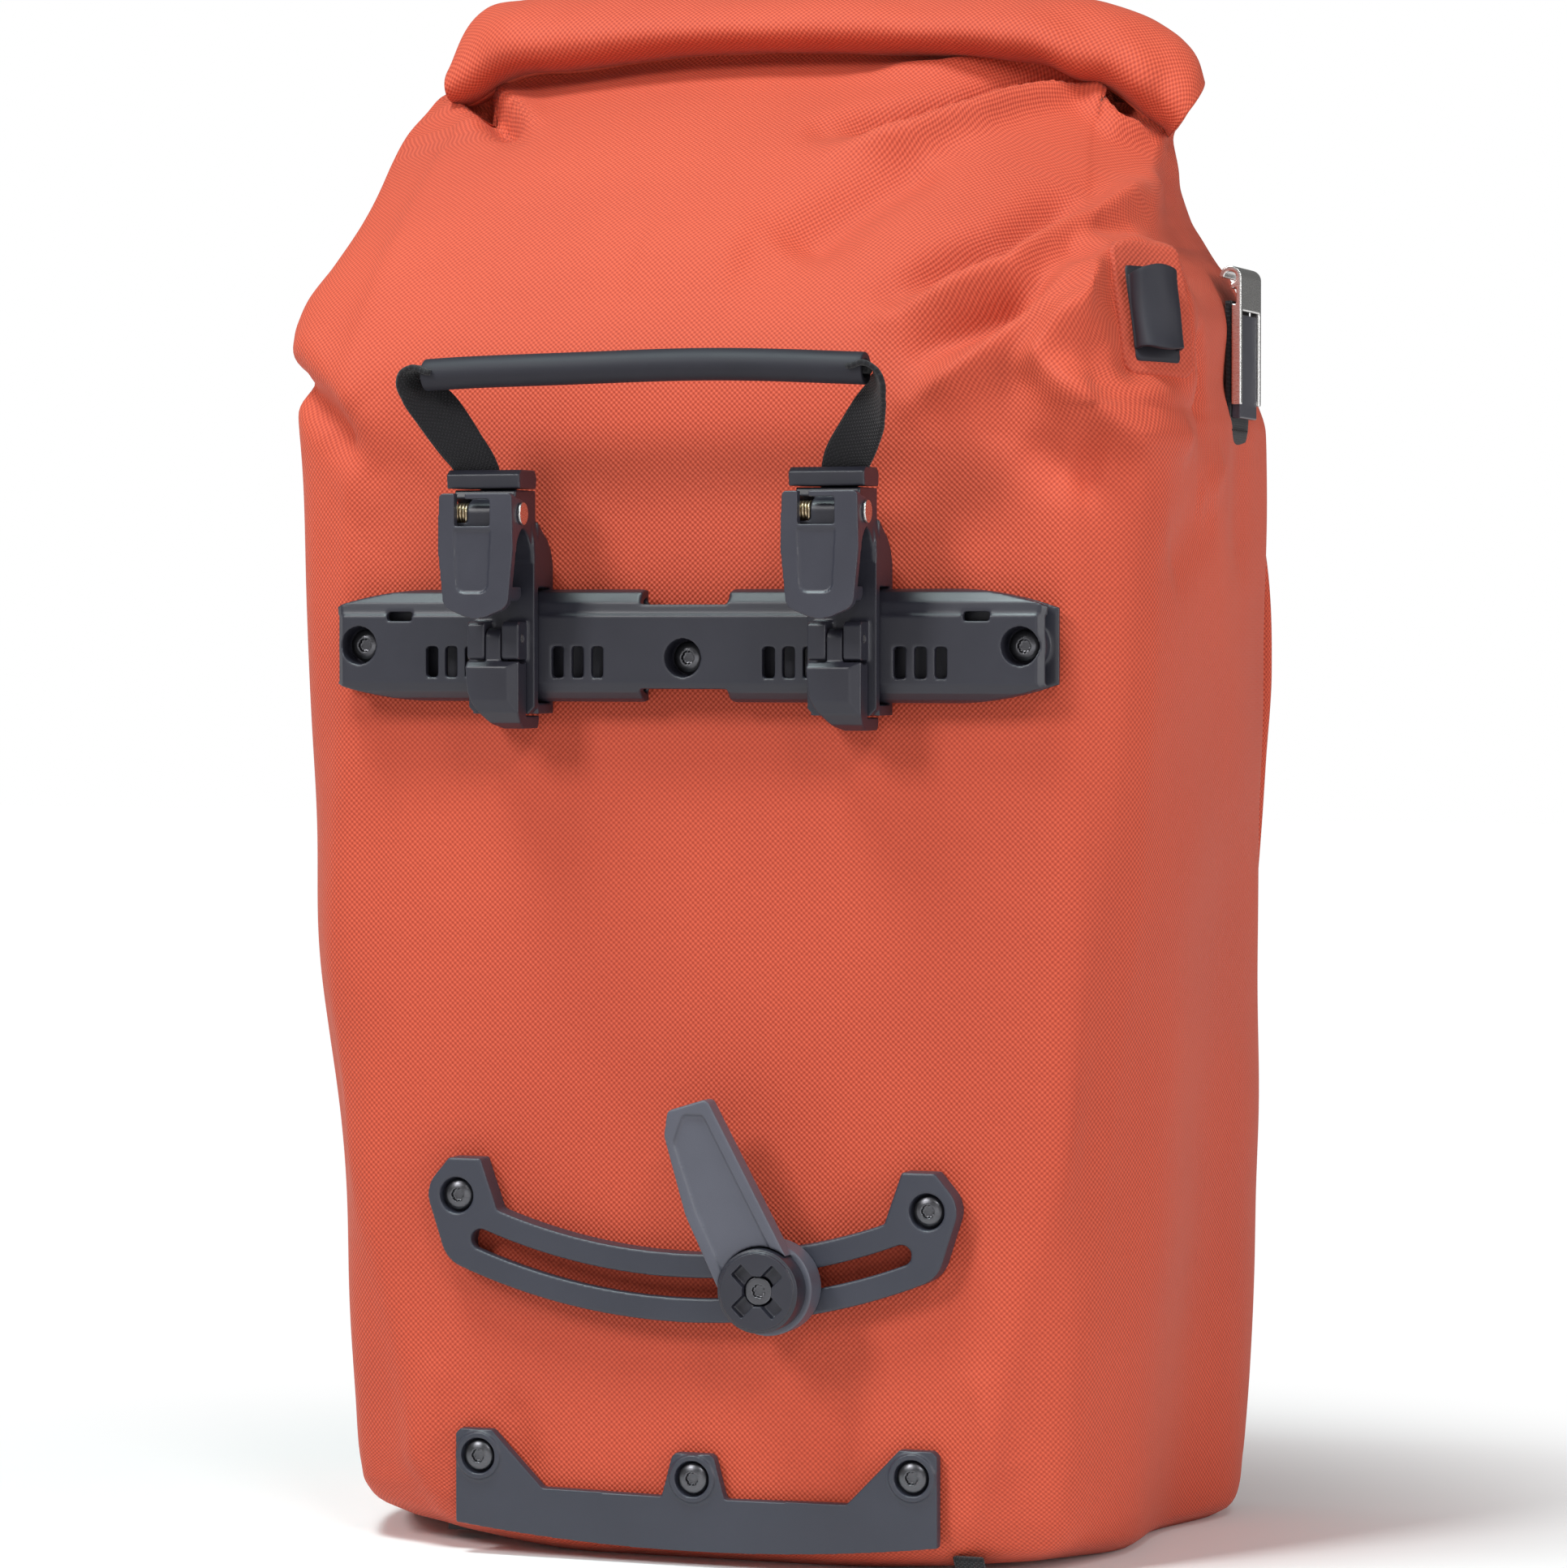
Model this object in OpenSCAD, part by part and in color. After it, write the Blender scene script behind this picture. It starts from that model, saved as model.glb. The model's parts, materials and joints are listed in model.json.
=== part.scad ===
// Roll-top bicycle pannier bag: fabric sack, quick-mount hooks on a top rail,
// swivelling anchor foot on an arc rail, carry handle that opens the hooks.
// Units are millimetres. X is the width, Y runs from the bike side to the outer
// side, Z is up. Z = 0 is the surface the bag stands on.

/* [Bag] */
// Overall height with the top rolled down
bag_h = 473; // [460:1:490]
// Depth of the sack, without hooks and pocket
bag_d = 165; // [150:1:175]
// Half of the width at the shoulders
shoulder_w = 139; // [134:1:142]
// Height at which the back wall starts to slope to the roll
shoulder_z = 345; // [342:1:350]
// Thickness of the coated fabric wall
wall = 2; // [1.6:0.2:2.4]
// Bulge of the front pocket beyond the sack
pocket_t = 12; // [8:1:14]

/* [Roll closure] */
// Length of the rolled top
roll_len = 242; // [225:1:250]
// Depth of the rolled top
roll_d = 34; // [30:1:38]
// Height of the rolled top
roll_t = 25; // [22:1:26]
// Distance of the roll from the back wall
roll_y = 107; // [100:1:110]

/* [Top rail] */
// Length of the mounting rail
rail_len = 223; // [219:1:226]
// Height of the mounting rail
rail_h = 33; // [33:1:33]
// Height of the rail's middle above the ground
rail_z = 270; // [268:1:272]
// How far the rail's face stands off the bag
rail_t = 12.5; // [12.5:0.1:12.5]
// Distance of each outer rail screw from the middle
rail_screw_x = 102; // [100:1:103]
// Height of the middle rail screw
pivot_z = 266.5; // [266:0.5:267]

/* [Hooks] */
// Distance of each hook from the middle
hook_x = 52.5; // [50:0.5:55]
// How far both hooks stand to the left of the middle of their slots
hook_slide = 2.5; // [0:0.5:4]
// Width of a hook's back plate
hook_w = 20.8; // [20.8:0.1:20.8]
// Radius of the rack tube that a hook takes
tube_r = 8; // [8:0.1:8]
// Distance between the locking slots in the rail
slot_pitch = 6.2; // [6:0.1:6.4]
// Number of locking slots on each side of a hook
slot_count = 3; // [2:1:3]

/* [Handle] */
// Length of the grip sleeve
grip_len = 134; // [126:1:138]
// Outer diameter of the grip sleeve
grip_d = 9.6; // [9.6:0.2:11]
// Width of the webbing
web_w = 14; // [12:1:14]

/* [Anchor foot] */
// Radius of the arc rail, measured to the middle of its slot
arc_r = 184; // [182:1:186]
// Half of the angle that the foot's bolt can travel
arc_half = 20.8; // [20:0.1:21.2]
// Angle of the foot from the middle of the arc
foot_at = 8.6; // [-12:0.1:12]
// Lean of the anchor arm from the vertical
arm_lean = 26.8; // [-60:0.1:60]

/* [Scuff plate] */
// Half of the plate's length
plate_w = 75; // [73:1:76]
// Thickness of the plate
plate_t = 4; // [3.5:0.5:4.5]

/* [Hidden] */
$fn = 48;
eps = 0.01;
bolt_r = 2.5;
bolt_hole_r = 2.6;
nut_hole_r = 2.55;
head_r = 4.8;

jaw_face = -36.5;
grip_reach = 42.8;
back_y = -(bag_d + pocket_t - grip_reach) / 2;

arc_band = 10.1;
arc_slot = 3;
arc_t = 8;
arc_screw = [73, 107.3];
foot_pos = [arc_r * sin(foot_at), pivot_z - arc_r * cos(foot_at)];

tube_y = -24.3;
tube_z = 296;
pin_y = -29.3;
pin_z = 308.2;
pin_r = 2;
pin_bore_r = 2.05;
latch_y = -19.5;
latch_z = 272;

roll_z = bag_h - roll_t / 2;
neck_z = bag_h - roll_t - 0.5;
grip_y = -38;
grip_z = 350;
grip_bend = 1300;
cap_z = 315.6;

plate_screws = [[-67.5, 29.7], [0, 26.1], [67.5, 29.7]];
rail_screws = [[-rail_screw_x, rail_z], [0, pivot_z], [rail_screw_x, rail_z]];
arc_screws = [[-arc_screw.x, arc_screw.y], [arc_screw.x, arc_screw.y]];
wall_holes = concat(rail_screws, arc_screws, plate_screws);

// Cross-sections of the sack, from the bottom up:
// height, back half width, front half width, back depth, front depth, corner radius
sections = [
    [0, 100, 104, 12, bag_d - 14, 24],
    [12, 116, 120, 0, bag_d - 2, 26],
    [145, 129, 130, 0, bag_d, 26],
    [shoulder_z, shoulder_w, 132, 0, bag_d, 26],
    [shoulder_z + 30, shoulder_w, 130, 10, bag_d, 26],
    [neck_z, 110, 110, roll_y - 14, roll_y + 14, 12],
];

black = [0.10, 0.10, 0.11];
slate = [0.17, 0.18, 0.20];
orange = [0.86, 0.27, 0.16];
steel = [0.75, 0.75, 0.76];

// ---------------------------------------------------------------- helpers

// Extrudes a (y, z) outline along X, centred on x = 0.
module along_x(width) {
    rotate([90, 0, 90]) linear_extrude(width, center = true) children();
}

// Extrudes an (x, z) outline towards the bike, between two depths.
module along_y(from, to) {
    translate([0, from, 0]) rotate([90, 0, 0]) linear_extrude(from - to) children();
}

// A round bar along Y at (x, z) between two depths.
module rod_y(x, z, r, from, to) {
    translate([x, from, z]) rotate([90, 0, 0]) cylinder(r = r, h = from - to);
}

// A round bar along X at (y, z) between two positions.
module rod_x(y, z, r, from, to) {
    translate([from, y, z]) rotate([0, 90, 0]) cylinder(r = r, h = to - from);
}

// A box between two corners.
module block(low, high) {
    translate(low) cube(high - low);
}

module mirrored(side) {
    if (side > 0) children();
    else mirror([1, 0, 0]) children();
}

// Domed screw with a six-point recess; the head's underside is at depth seat.
module dome_bolt(x, z, seat, length) {
    dome = [for (a = [0:15:90]) [head_r * cos(a) + eps * sin(a), 0.8 + 2 * sin(a)]];
    translate([x, seat, z]) rotate([90, 0, 0]) difference() {
        union() {
            rotate_extrude() polygon(concat([[0, 0], [head_r, 0]], dome, [[0, 2.8]]));
            translate([0, 0, -length]) cylinder(r = bolt_r, h = length + eps);
        }
        for (a = [0, 60, 120])
            rotate(a) translate([-1.9, -0.75, 1.1]) cube([3.8, 1.5, 3]);
    }
}

// Flanged barrel nut behind the stiffener.
module barrel_nut(x, z) {
    difference() {
        union() {
            rod_y(x, z, 6, wall + 4.1, wall + 2.6);
            rod_y(x, z, 3.9, wall + 9, wall + 4);
        }
        rod_y(x, z, nut_hole_r, wall + 10, wall + 2);
    }
}

// ---------------------------------------------------------------- fabric

module section_slab(s, grow) {
    r = s[5] + grow;
    for (side = [-1, 1]) {
        translate([side * (s[1] + grow - r), s[3] - grow + r, s[0]])
            cylinder(r = r, h = 0.1, $fn = 32);
        translate([side * (s[2] + grow - r), s[4] + grow - r, s[0]])
            cylinder(r = r, h = 0.1, $fn = 32);
    }
}

// The sack's convex envelope, grown or shrunk by a wall thickness.
module sack(grow, lift = 0, rise = 0) {
    last = len(sections) - 1;
    hull() {
        translate([0, 0, lift]) section_slab(sections[0], grow);
        for (i = [1:last - 1]) section_slab(sections[i], grow);
        translate([0, 0, rise]) section_slab(sections[last], grow);
    }
}

// The fabric wall, kept only where the children are: one sewn panel.
module panel() {
    color(orange) intersection() {
        difference() {
            sack(0);
            sack(-wall, lift = wall, rise = 1);
            for (h = wall_holes) rod_y(h.x, h.y, bolt_hole_r, wall + 2, -2);
        }
        children();
    }
}

seam_x = 104;
base_seam_z = 12;
mid_y = bag_d / 2;

module back_panel() {
    panel() along_x(2 * seam_x)
        polygon([[-10, base_seam_z], [mid_y, base_seam_z], [mid_y, shoulder_z], [roll_y, bag_h], [-10, bag_h]]);
}

module front_panel() {
    panel() along_x(2 * seam_x)
        polygon([[mid_y, base_seam_z], [bag_d + 10, base_seam_z], [bag_d + 10, bag_h],
                 [roll_y, bag_h], [mid_y, shoulder_z]]);
}

module base_panel() {
    panel() block([-seam_x, -10, -10], [seam_x, bag_d + 10, base_seam_z]);
}

module side_panel(side) {
    panel() mirrored(side) block([seam_x, -10, -10], [shoulder_w + 10, bag_d + 10, bag_h]);
}

module roll_outline(grow) {
    r = roll_t / 2 + grow;
    hull() for (side = [-1, 1])
        translate([roll_y + side * (roll_d / 2 - roll_t / 2), roll_z]) circle(r = r);
}

module roll_closure() {
    color(orange) difference() {
        along_x(roll_len) roll_outline(0);
        along_x(roll_len - 8)
            translate([roll_y - 10.3, roll_z - 1.3]) square([20.6, 2.6]);
    }
}

module roll_stiffener() {
    color(black) along_x(roll_len - 10)
        translate([roll_y - 10, roll_z - 1]) square([20, 2]);
}

module back_stiffener() {
    color(slate) difference() {
        along_y(wall + 2.5, wall + 0.4)
            polygon([[-68, 20], [68, 20], [88, 60], [96, 220], [96, 335], [-96, 335],
                     [-96, 220], [-88, 60]]);
        for (h = wall_holes) rod_y(h.x, h.y, bolt_hole_r, wall + 4, wall - 1);
    }
}

module base_board() {
    color(slate) block([-88, 22, wall + 0.6], [88, bag_d - 26, wall + 2.6]);
}

// ---------------------------------------------------------------- front pocket

pocket_low = 172;
pocket_high = 332;
pocket_right = 120;
zip_y = bag_d + 7;

module pocket_envelope(shrink) {
    r = 10 - shrink;
    hull() for (x = [-115 + 10, pocket_right - 10]) for (z = [pocket_low + 10, pocket_high - 10]) {
        translate([x, bag_d - 22, z]) rotate([-90, 0, 0])
            cylinder(r = r, h = 32 - shrink, $fn = 32);
        translate([x, bag_d - 22, z]) rotate([-90, 0, 0])
            cylinder(r = r - 4, h = 22 + pocket_t - shrink, $fn = 32);
    }
}

module front_pocket() {
    color(orange) difference() {
        pocket_envelope(0);
        difference() {
            pocket_envelope(wall);
            sack(wall + 0.2);
        }
        sack(0.2);
        block([pocket_right - 4, zip_y - 4, pocket_low + 18], [pocket_right + 1, zip_y + 1, pocket_high - 18]);
    }
}

module zipper_tape() {
    color(black) block([pocket_right + 0.2, zip_y - 6, pocket_low + 14],
                       [pocket_right + 0.9, zip_y + 1.3, pocket_high - 14]);
}

module zipper_coil() {
    color(black) translate([pocket_right + 2.2, zip_y - 2.4, pocket_low + 16])
        cylinder(r = 1.2, h = pocket_high - pocket_low - 32);
}

module zip_slider() {
    top = pocket_high - 17;
    color(steel) difference() {
        block([pocket_right + 1.1, zip_y - 5.6, top - 11], [pocket_right + 5.4, zip_y + 0.8, top]);
        translate([pocket_right + 2.2, zip_y - 2.4, top - 12]) cylinder(r = 1.4, h = 14);
        block([pocket_right + 0.9, zip_y - 2.8, top - 12], [pocket_right + 2.2, zip_y - 2, top + 1]);
        rod_y(pocket_right + 4.4, top - 2.6, 0.55, zip_y + 2, zip_y - 7);
    }
}

module zip_pull() {
    top = pocket_high - 17;
    x = pocket_right + 4.4;
    color(slate) {
        rod_y(x, top - 2.6, 0.5, zip_y + 1.8, zip_y - 6.6);
        for (y = [zip_y - 7.6, zip_y + 1.2])
            block([x - 0.7, y, top - 16], [x + 0.7, y + 1.6, top - 1.9]);
        block([x - 0.7, zip_y - 7.6, top - 34], [x + 0.7, zip_y + 2.8, top - 14]);
    }
}

// ---------------------------------------------------------------- top rail

// Half height of the rail's outline, which narrows towards both ends.
function rail_half(x) = let (over = max(0, abs(x) - 80))
    rail_h / 2 - 5.5 * pow(over / (rail_len / 2 - 80), 2);

module rail_outline() {
    xs = [for (x = [-rail_len / 2:rail_len / 2 / 24:rail_len / 2 + eps]) x];
    polygon(concat([for (x = xs) [x, rail_z + rail_half(x)]],
                   [for (i = [len(xs) - 1:-1:0]) [xs[i], rail_z - rail_half(xs[i])]]));
}

module rail_profile() {
    translate([0, rail_z]) difference() {
        polygon([[-3.9, -16.2], [-6, -16.5], [-9, -15.6], [-11.4, -13.4], [-rail_t, -11],
                 [-rail_t, 8.6], [-11.8, 9.4], [-11.4, 12.6], [-9, 15.6], [-6, 16.5], [-3.9, 16.2]]);
        polygon([[-5.2, -13.8], [-6, -13.9], [-8.6, -12.6], [-10, -10.4],
                 [-10, 8.4], [-9.2, 11.4], [-7.8, 13.1], [-6, 13.9], [-5.2, 13.8]]);
    }
}

module rail_slots() {
    for (side = [-1, 1]) for (k = [0:slot_count - 1]) for (way = [-1, 1])
        translate([side * hook_x + way * (13.6 + slot_pitch * k), 0, rail_z - 4.8])
            block([-1.8, -rail_t - 1, -4.5], [1.8, -8, 4.5]);
    for (side = [-1, 1])
        block([side * 89 - 4, -rail_t - 1, rail_z + 7.2], [side * 89 + 4, -8, rail_z + 9.8]);
}

module top_rail() {
    color(black) difference() {
        union() {
            difference() {
                intersection() {
                    along_x(rail_len) rail_profile();
                    along_y(0, -rail_t - 1) rail_outline();
                }
                block([-13.5, -rail_t - 1, rail_z + 12], [13.5, 0, rail_z + 20]);
                block([-13.5, -rail_t - 1, rail_z - 20], [13.5, 0, rail_z - 12.6]);
                rail_slots();
            }
            for (s = rail_screws) rod_y(s.x, s.y, 7, -0.1, -rail_t);
        }
        for (s = rail_screws) {
            rod_y(s.x, s.y, bolt_hole_r, 1, -rail_t - 1);
            rod_y(s.x, s.y, 5.6, -5.5, -rail_t - 1);
        }
        for (side = [-1, 1])
            translate([side * (rail_len / 2 + 0.5), -rail_t, rail_z])
                rotate([0, 0, side * 45]) cube([7, 7, 60], center = true);
    }
}

module rail_bolts() {
    color(slate) for (s = rail_screws) dome_bolt(s.x, s.y, -5.5, wall + 14);
}

module rail_nuts() {
    color(steel) for (s = rail_screws) barrel_nut(s.x, s.y);
}

// ---------------------------------------------------------------- hooks

// Moves a hook part, drawn for x = 0, to its place on the rail.
module on_rail(side) {
    translate([side * hook_x - hook_slide, 0, 0]) children();
}

module hook_plate_outline() {
    w = hook_w / 2;
    polygon([[-w, 252], [-w + 2, 250], [w - 2, 250], [w, 252], [w, 300], [w - 0.8, 306],
             [w - 0.8, 315.2], [-w + 0.8, 315.2], [-w + 0.8, 306], [-w, 300]]);
}

module hook_seat_outline() {
    difference() {
        union() {
            polygon([[-12.8, 294], [-12.8, 315.2], [-28.4, 315.2], [pin_y, pin_z + 3.9],
                     [pin_y - 3.9, pin_z], [-32.9, 303.4], [-30.2, 301], [-24, 296]]);
            translate([pin_y, pin_z]) circle(r = 3.9);
        }
        translate([tube_y, tube_z]) circle(r = tube_r);
        translate([-34, 288]) square([17.6, 8]);
    }
}

// A hook body drawn for x = 0: back plate, rail clips, tube seat and latch lugs.
module hook_frame() {
    difference() {
        union() {
            along_y(-12.8, -16.1) hook_plate_outline();
            along_x(hook_w) polygon([[-13, 286.9], [-0.8, 286.9], [-0.8, 294], [-2.4, 298], [-5, 301],
                                     [-9, 303.4], [-12.9, 306]]);
            block([-hook_w / 2, -3.4, 283.4], [hook_w / 2, -0.8, 287]);
            block([-hook_w / 2, -13, 250], [hook_w / 2, -0.8, 253.1]);
            block([-hook_w / 2, -3.4, 253], [hook_w / 2, -0.8, 256.6]);
            along_x(19.2) hook_seat_outline();
            for (side = [-1, 1]) translate([side * 5.4, 0, 0]) along_x(5.4)
                polygon([[-16, 277], [-22, 277], [-23, 276], [-23, 266.6], [-22.4, 265.9], [-16, 265.9]]);
        }
        rod_x(tube_y, tube_z, tube_r + 0.5, 9.6, 20);
        rod_x(tube_y, tube_z, tube_r + 0.5, -20, -9.6);
        rod_x(pin_y, pin_z, pin_bore_r, -20, 20);
        rod_x(pin_y, pin_z, 4.4, -9.7, -3.8);
        rod_x(latch_y, latch_z, 1.25, -20, 20);
        block([-5.3, -18.8, 302.6], [5.3, -16, 316]);
    }
}

module hook_body(side) {
    color(black) on_rail(side) hook_frame();
}

module jaw_outline() {
    hull() {
        for (side = [-1, 1]) {
            translate([side * 9.9, 312.6]) circle(r = 1.5);
            translate([side * 8.7, 298]) circle(r = 3);
            translate([side * 6.3, 283.9]) circle(r = 4);
        }
        translate([0, 287.8]) circle(r = 10);
    }
}

// Swinging jaw: front plate with a spring window, two pin flanges and a lip.
module hook_jaw(side) {
    color(slate) on_rail(side) difference() {
        union() {
            along_y(jaw_face + 3, jaw_face) jaw_outline();
            for (way = [-1, 1]) translate([way * 10.7, 0, 0]) along_x(1.6) hull() {
                translate([pin_y, pin_z]) circle(r = 4.2);
                translate([-34, 297]) square([0.6, 16]);
            }
            along_x(14) polygon([[-33.6, 290.5], [-33.6, 283], [-19.5, 283], [-17.6, 284.6], [-17.8, 287.1],
                                 [-24, 287.1], [-28.4, 287.1], [-31.4, 290]]);
        }
        rod_x(tube_y, tube_z, tube_r + 0.7, -20, 20);
        rod_x(pin_y, pin_z, pin_bore_r, -20, 20);
        block([-6.6, -38, 304.6], [4.4, -33, 312.4]);
        block([-6.6, -38, 304.6], [-3.4, -33, 317]);
        along_y(jaw_face + 0.6, jaw_face - 1) hull() {
            translate([-6.8, 302.6]) square([11.6, 1]);
            translate([-3.6, 287.8]) circle(r = 2.6);
            translate([1.4, 287.8]) circle(r = 2.6);
        }
    }
}

module jaw_pin(side) {
    color(steel) on_rail(side) {
        rod_x(pin_y, pin_z, pin_r, -11.65, 11.65);
        rod_x(pin_y, pin_z, 3.3, 11.6, 12.5);
        rod_x(pin_y, pin_z, 3.3, -12.5, -11.6);
    }
}

// Centre line of the torsion spring: three turns round the pin with a leg at each end.
spring_turns = 3;
spring_r = 2.75;
spring_leg = 2.6;
wire_r = 0.5;
function spring_line() = concat(
    [[-8.9, pin_y + spring_r, pin_z - spring_leg]],
    [for (a = [0:30:360 * spring_turns + 180])
        [-8.9 + 1.25 * a / 360, pin_y + spring_r * cos(a), pin_z + spring_r * sin(a)]],
    [[-8.9 + 1.25 * (spring_turns + 0.5), pin_y - spring_r, pin_z - spring_leg]]
);

// Six-sided tube along a line of points, one ring at each point.
module wire(line, r, sides = 6) {
    n = len(line);
    function ahead(i) = line[min(i + 1, n - 1)] - line[max(i - 1, 0)];
    function unit(v) = v / norm(v);
    rings = [for (i = [0:n - 1]) let (
        t = unit(ahead(i)), u = unit(cross(t, [1, 0, 0])), w = cross(t, u))
        for (k = [0:sides - 1]) line[i] + r * (cos(360 * k / sides) * u + sin(360 * k / sides) * w)];
    faces = concat(
        [[for (k = [sides - 1:-1:0]) k]],
        [for (i = [0:n - 2]) for (k = [0:sides - 1]) let (
            a = i * sides + k, b = i * sides + (k + 1) % sides) [a, b, b + sides, a + sides]],
        [[for (k = [0:sides - 1]) (n - 1) * sides + k]]
    );
    polyhedron(rings, faces, convexity = 6);
}

module jaw_spring(side) {
    color(steel) on_rail(side) wire(spring_line(), wire_r);
}

module latch_outline() {
    polygon([[-8.1, 265.4], [-7.9, 260], [-7.3, 256], [-5.8, 252.5], [-3.6, 249.4], [-1.4, 247],
             [1, 245.7], [7.6, 245.7], [8.1, 250], [8.1, 265.4]]);
}

// Rail latch: hinged stem between the lugs, lever plate and a toe under the rail.
module rail_latch(side) {
    color(black) on_rail(side) difference() {
        union() {
            along_x(4.8) hull() {
                translate([latch_y, latch_z]) circle(r = 3.2);
                translate([-22.6, 263]) square([6, 1]);
            }
            difference() {
                intersection() {
                    along_x(16.2) polygon([[-16.6, 265.4], [-23, 265.4], [-24.5, 263.8], [-24.5, 254],
                        [-23.4, 250.6], [-20.6, 247.4], [-17, 245.7], [-6, 245.7], [-6, 249.4], [-16.6, 249.4]]);
                    along_y(0, -30) latch_outline();
                }
                rod_x(latch_y, latch_z, 7.3, -12, 12);
                translate([4.8, -24.6, 244]) rotate([0, 0, 24]) block([0, -4, 0], [8, 0, 22]);
            }
        }
        rod_x(latch_y, latch_z, 1.25, -20, 20);
    }
}

module latch_pin(side) {
    color(steel) on_rail(side) rod_x(latch_y, latch_z, 1.2, -7.9, 7.9);
}

// Webbing cap on top of a hook, with a tongue that slides in the hook body.
module strap_cap(side) {
    shift = side * 3;
    color(black) on_rail(side) difference() {
        union() {
            along_x(22.8) polygon([[-17, cap_z], [-30, cap_z], [-30.4, 319.6], [-28.6, 321], [-18, 321], [-16.4, 319]]);
            block([-5, -18.5, 303], [5, -16.4, 317]);
        }
        block([shift - web_w / 2 - 0.4, -25.4, 317.6], [shift + web_w / 2 + 0.4, -23, 322]);
    }
}

// ---------------------------------------------------------------- handle

module grip_arc(angle) {
    translate([-hook_slide, grip_y, grip_z - grip_bend]) rotate([90, 0, 0])
        rotate([0, 0, 90 - angle / 2]) rotate_extrude(angle = angle, $fn = 200)
            translate([grip_bend, 0]) children();
}

module handle_grip() {
    angle = 2 * asin(grip_len / 2 / grip_bend);
    color(slate) grip_arc(angle) difference() {
        circle(d = grip_d);
        square([8.2, 3.6], center = true);
    }
}

module handle_webbing() {
    angle = 2 * asin((grip_len / 2 + 2) / grip_bend);
    end_x = grip_len / 2 + 1.6;
    color(black) {
        grip_arc(angle) square([7.6, 3], center = true);
        translate([-hook_slide, 0, 0]) for (side = [-1, 1]) mirrored(side) {
            hull() {
                block([end_x, grip_y - 1.5, grip_z - 5.4], [end_x + 1, grip_y + 1.5, grip_z + 2]);
                block([end_x + 2.4, grip_y - 1.2, grip_z - 14], [end_x + 4, grip_y + 5, grip_z - 6]);
            }
            hull() {
                block([end_x + 2.4, grip_y - 1.2, grip_z - 14], [end_x + 4, grip_y + 5, grip_z - 6]);
                block([hook_x - 4, -25, 321.2], [hook_x + 3 + web_w / 2, -23.4, 322.2]);
            }
            block([hook_x + 3 - web_w / 2, -25, 318], [hook_x + 3 + web_w / 2, -23.4, 321.6]);
        }
    }
}

// ---------------------------------------------------------------- anchor foot

module arc_point(angle) {
    translate([arc_r * sin(angle), pivot_z - arc_r * cos(angle)]) children();
}

// A band of the given half width along the arc, with round ends.
module arc_band_outline(half, angle) {
    intersection() {
        translate([0, pivot_z]) difference() {
            circle(r = arc_r + half, $fn = 240);
            circle(r = arc_r - half, $fn = 240);
        }
        polygon([[0, pivot_z], [300 * sin(-angle), pivot_z - 300 * cos(angle)],
                 [300 * sin(angle), pivot_z - 300 * cos(angle)]]);
    }
    for (side = [-1, 1]) arc_point(side * angle) circle(r = half);
}

module arc_lug_outline() {
    hull() {
        translate(arc_screw) circle(r = 9);
        translate([arc_screw.x - 7.6, 117.4]) square([10, 1]);
        arc_point(arc_half + 0.9) circle(r = arc_band);
    }
}

module arc_rail() {
    color(slate) difference() {
        along_y(-0.1, -arc_t) difference() {
            union() {
                arc_band_outline(arc_band, arc_half);
                arc_lug_outline();
                mirror([1, 0, 0]) arc_lug_outline();
            }
            arc_band_outline(arc_slot, arc_half);
        }
        along_y(1, -4.2) arc_band_outline(6.6, arc_half - 1);
        for (s = arc_screws) {
            rod_y(s.x, s.y, bolt_hole_r, 1, -10);
            rod_y(s.x, s.y, 5.3, -4.4, -10);
        }
    }
}

module arc_bolts() {
    color(slate) for (s = arc_screws) dome_bolt(s.x, s.y, -4.4, wall + 13);
}

module arc_nuts() {
    color(steel) for (s = arc_screws) barrel_nut(s.x, s.y);
}

module foot_nut() {
    color(steel) difference() {
        translate([foot_pos.x, 0, foot_pos.y]) rotate([0, -foot_at, 0]) union() {
            block([-7, -3.9, -6.1], [7, -0.4, 6.1]);
            block([-5, -7.8, -2.7], [5, -3.8, 2.7]);
        }
        rod_y(foot_pos.x, foot_pos.y, nut_hole_r, 1, -10);
    }
}

module arm_outline(inset) {
    translate(foot_pos) rotate(arm_lean) hull() {
        translate([0, 2]) circle(r = 11.6 - inset);
        translate([-0.4, 28]) circle(r = 10.6 - inset);
        translate([-2.6 + inset / 2, 50.6 - inset]) circle(r = 4.2);
        translate([-1.4 + inset, 56.2 - inset]) circle(r = 2);
        translate([8.2 - inset, 54.6 - inset]) circle(r = 2);
    }
}

module foot_arm() {
    color(slate) difference() {
        union() {
            rod_y(foot_pos.x, foot_pos.y, 13.8, -8.2, -17.5);
            along_y(-16.8, -23.2) arm_outline(0);
        }
        along_y(-22.2, -24) arm_outline(3.2);
        rod_y(foot_pos.x, foot_pos.y, 12.7, -17.5, -30);
        rod_y(foot_pos.x, foot_pos.y, 4.1, 0, -30);
    }
}

module foot_knob() {
    color(black) translate([foot_pos.x, 0, foot_pos.y]) difference() {
        union() {
            rod_y(0, 0, 12.2, -17.7, -25.4);
            rod_y(0, 0, 11.2, -25.3, -26.2);
            rod_y(0, 0, 4, -8.1, -17.8);
        }
        rod_y(0, 0, bolt_hole_r, 0, -30);
        rod_y(0, 0, 4.4, -22.1, -30);
        for (a = [45, 135]) rotate([0, a, 0]) block([-8.8, -27, -2.2], [8.8, -23.7, 2.2]);
    }
}

module foot_bolt() {
    color(steel) translate([foot_pos.x, 0, foot_pos.y]) difference() {
        union() {
            rod_y(0, 0, bolt_r, -0.6, -22.3);
            rod_y(0, 0, 4.1, -22.2, -24.4);
        }
        rotate([0, 15, 0]) for (a = [0, 60, 120])
            rotate([0, a, 0]) block([-1.9, -25, -0.7], [1.9, -23.1, 0.7]);
    }
}

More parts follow.
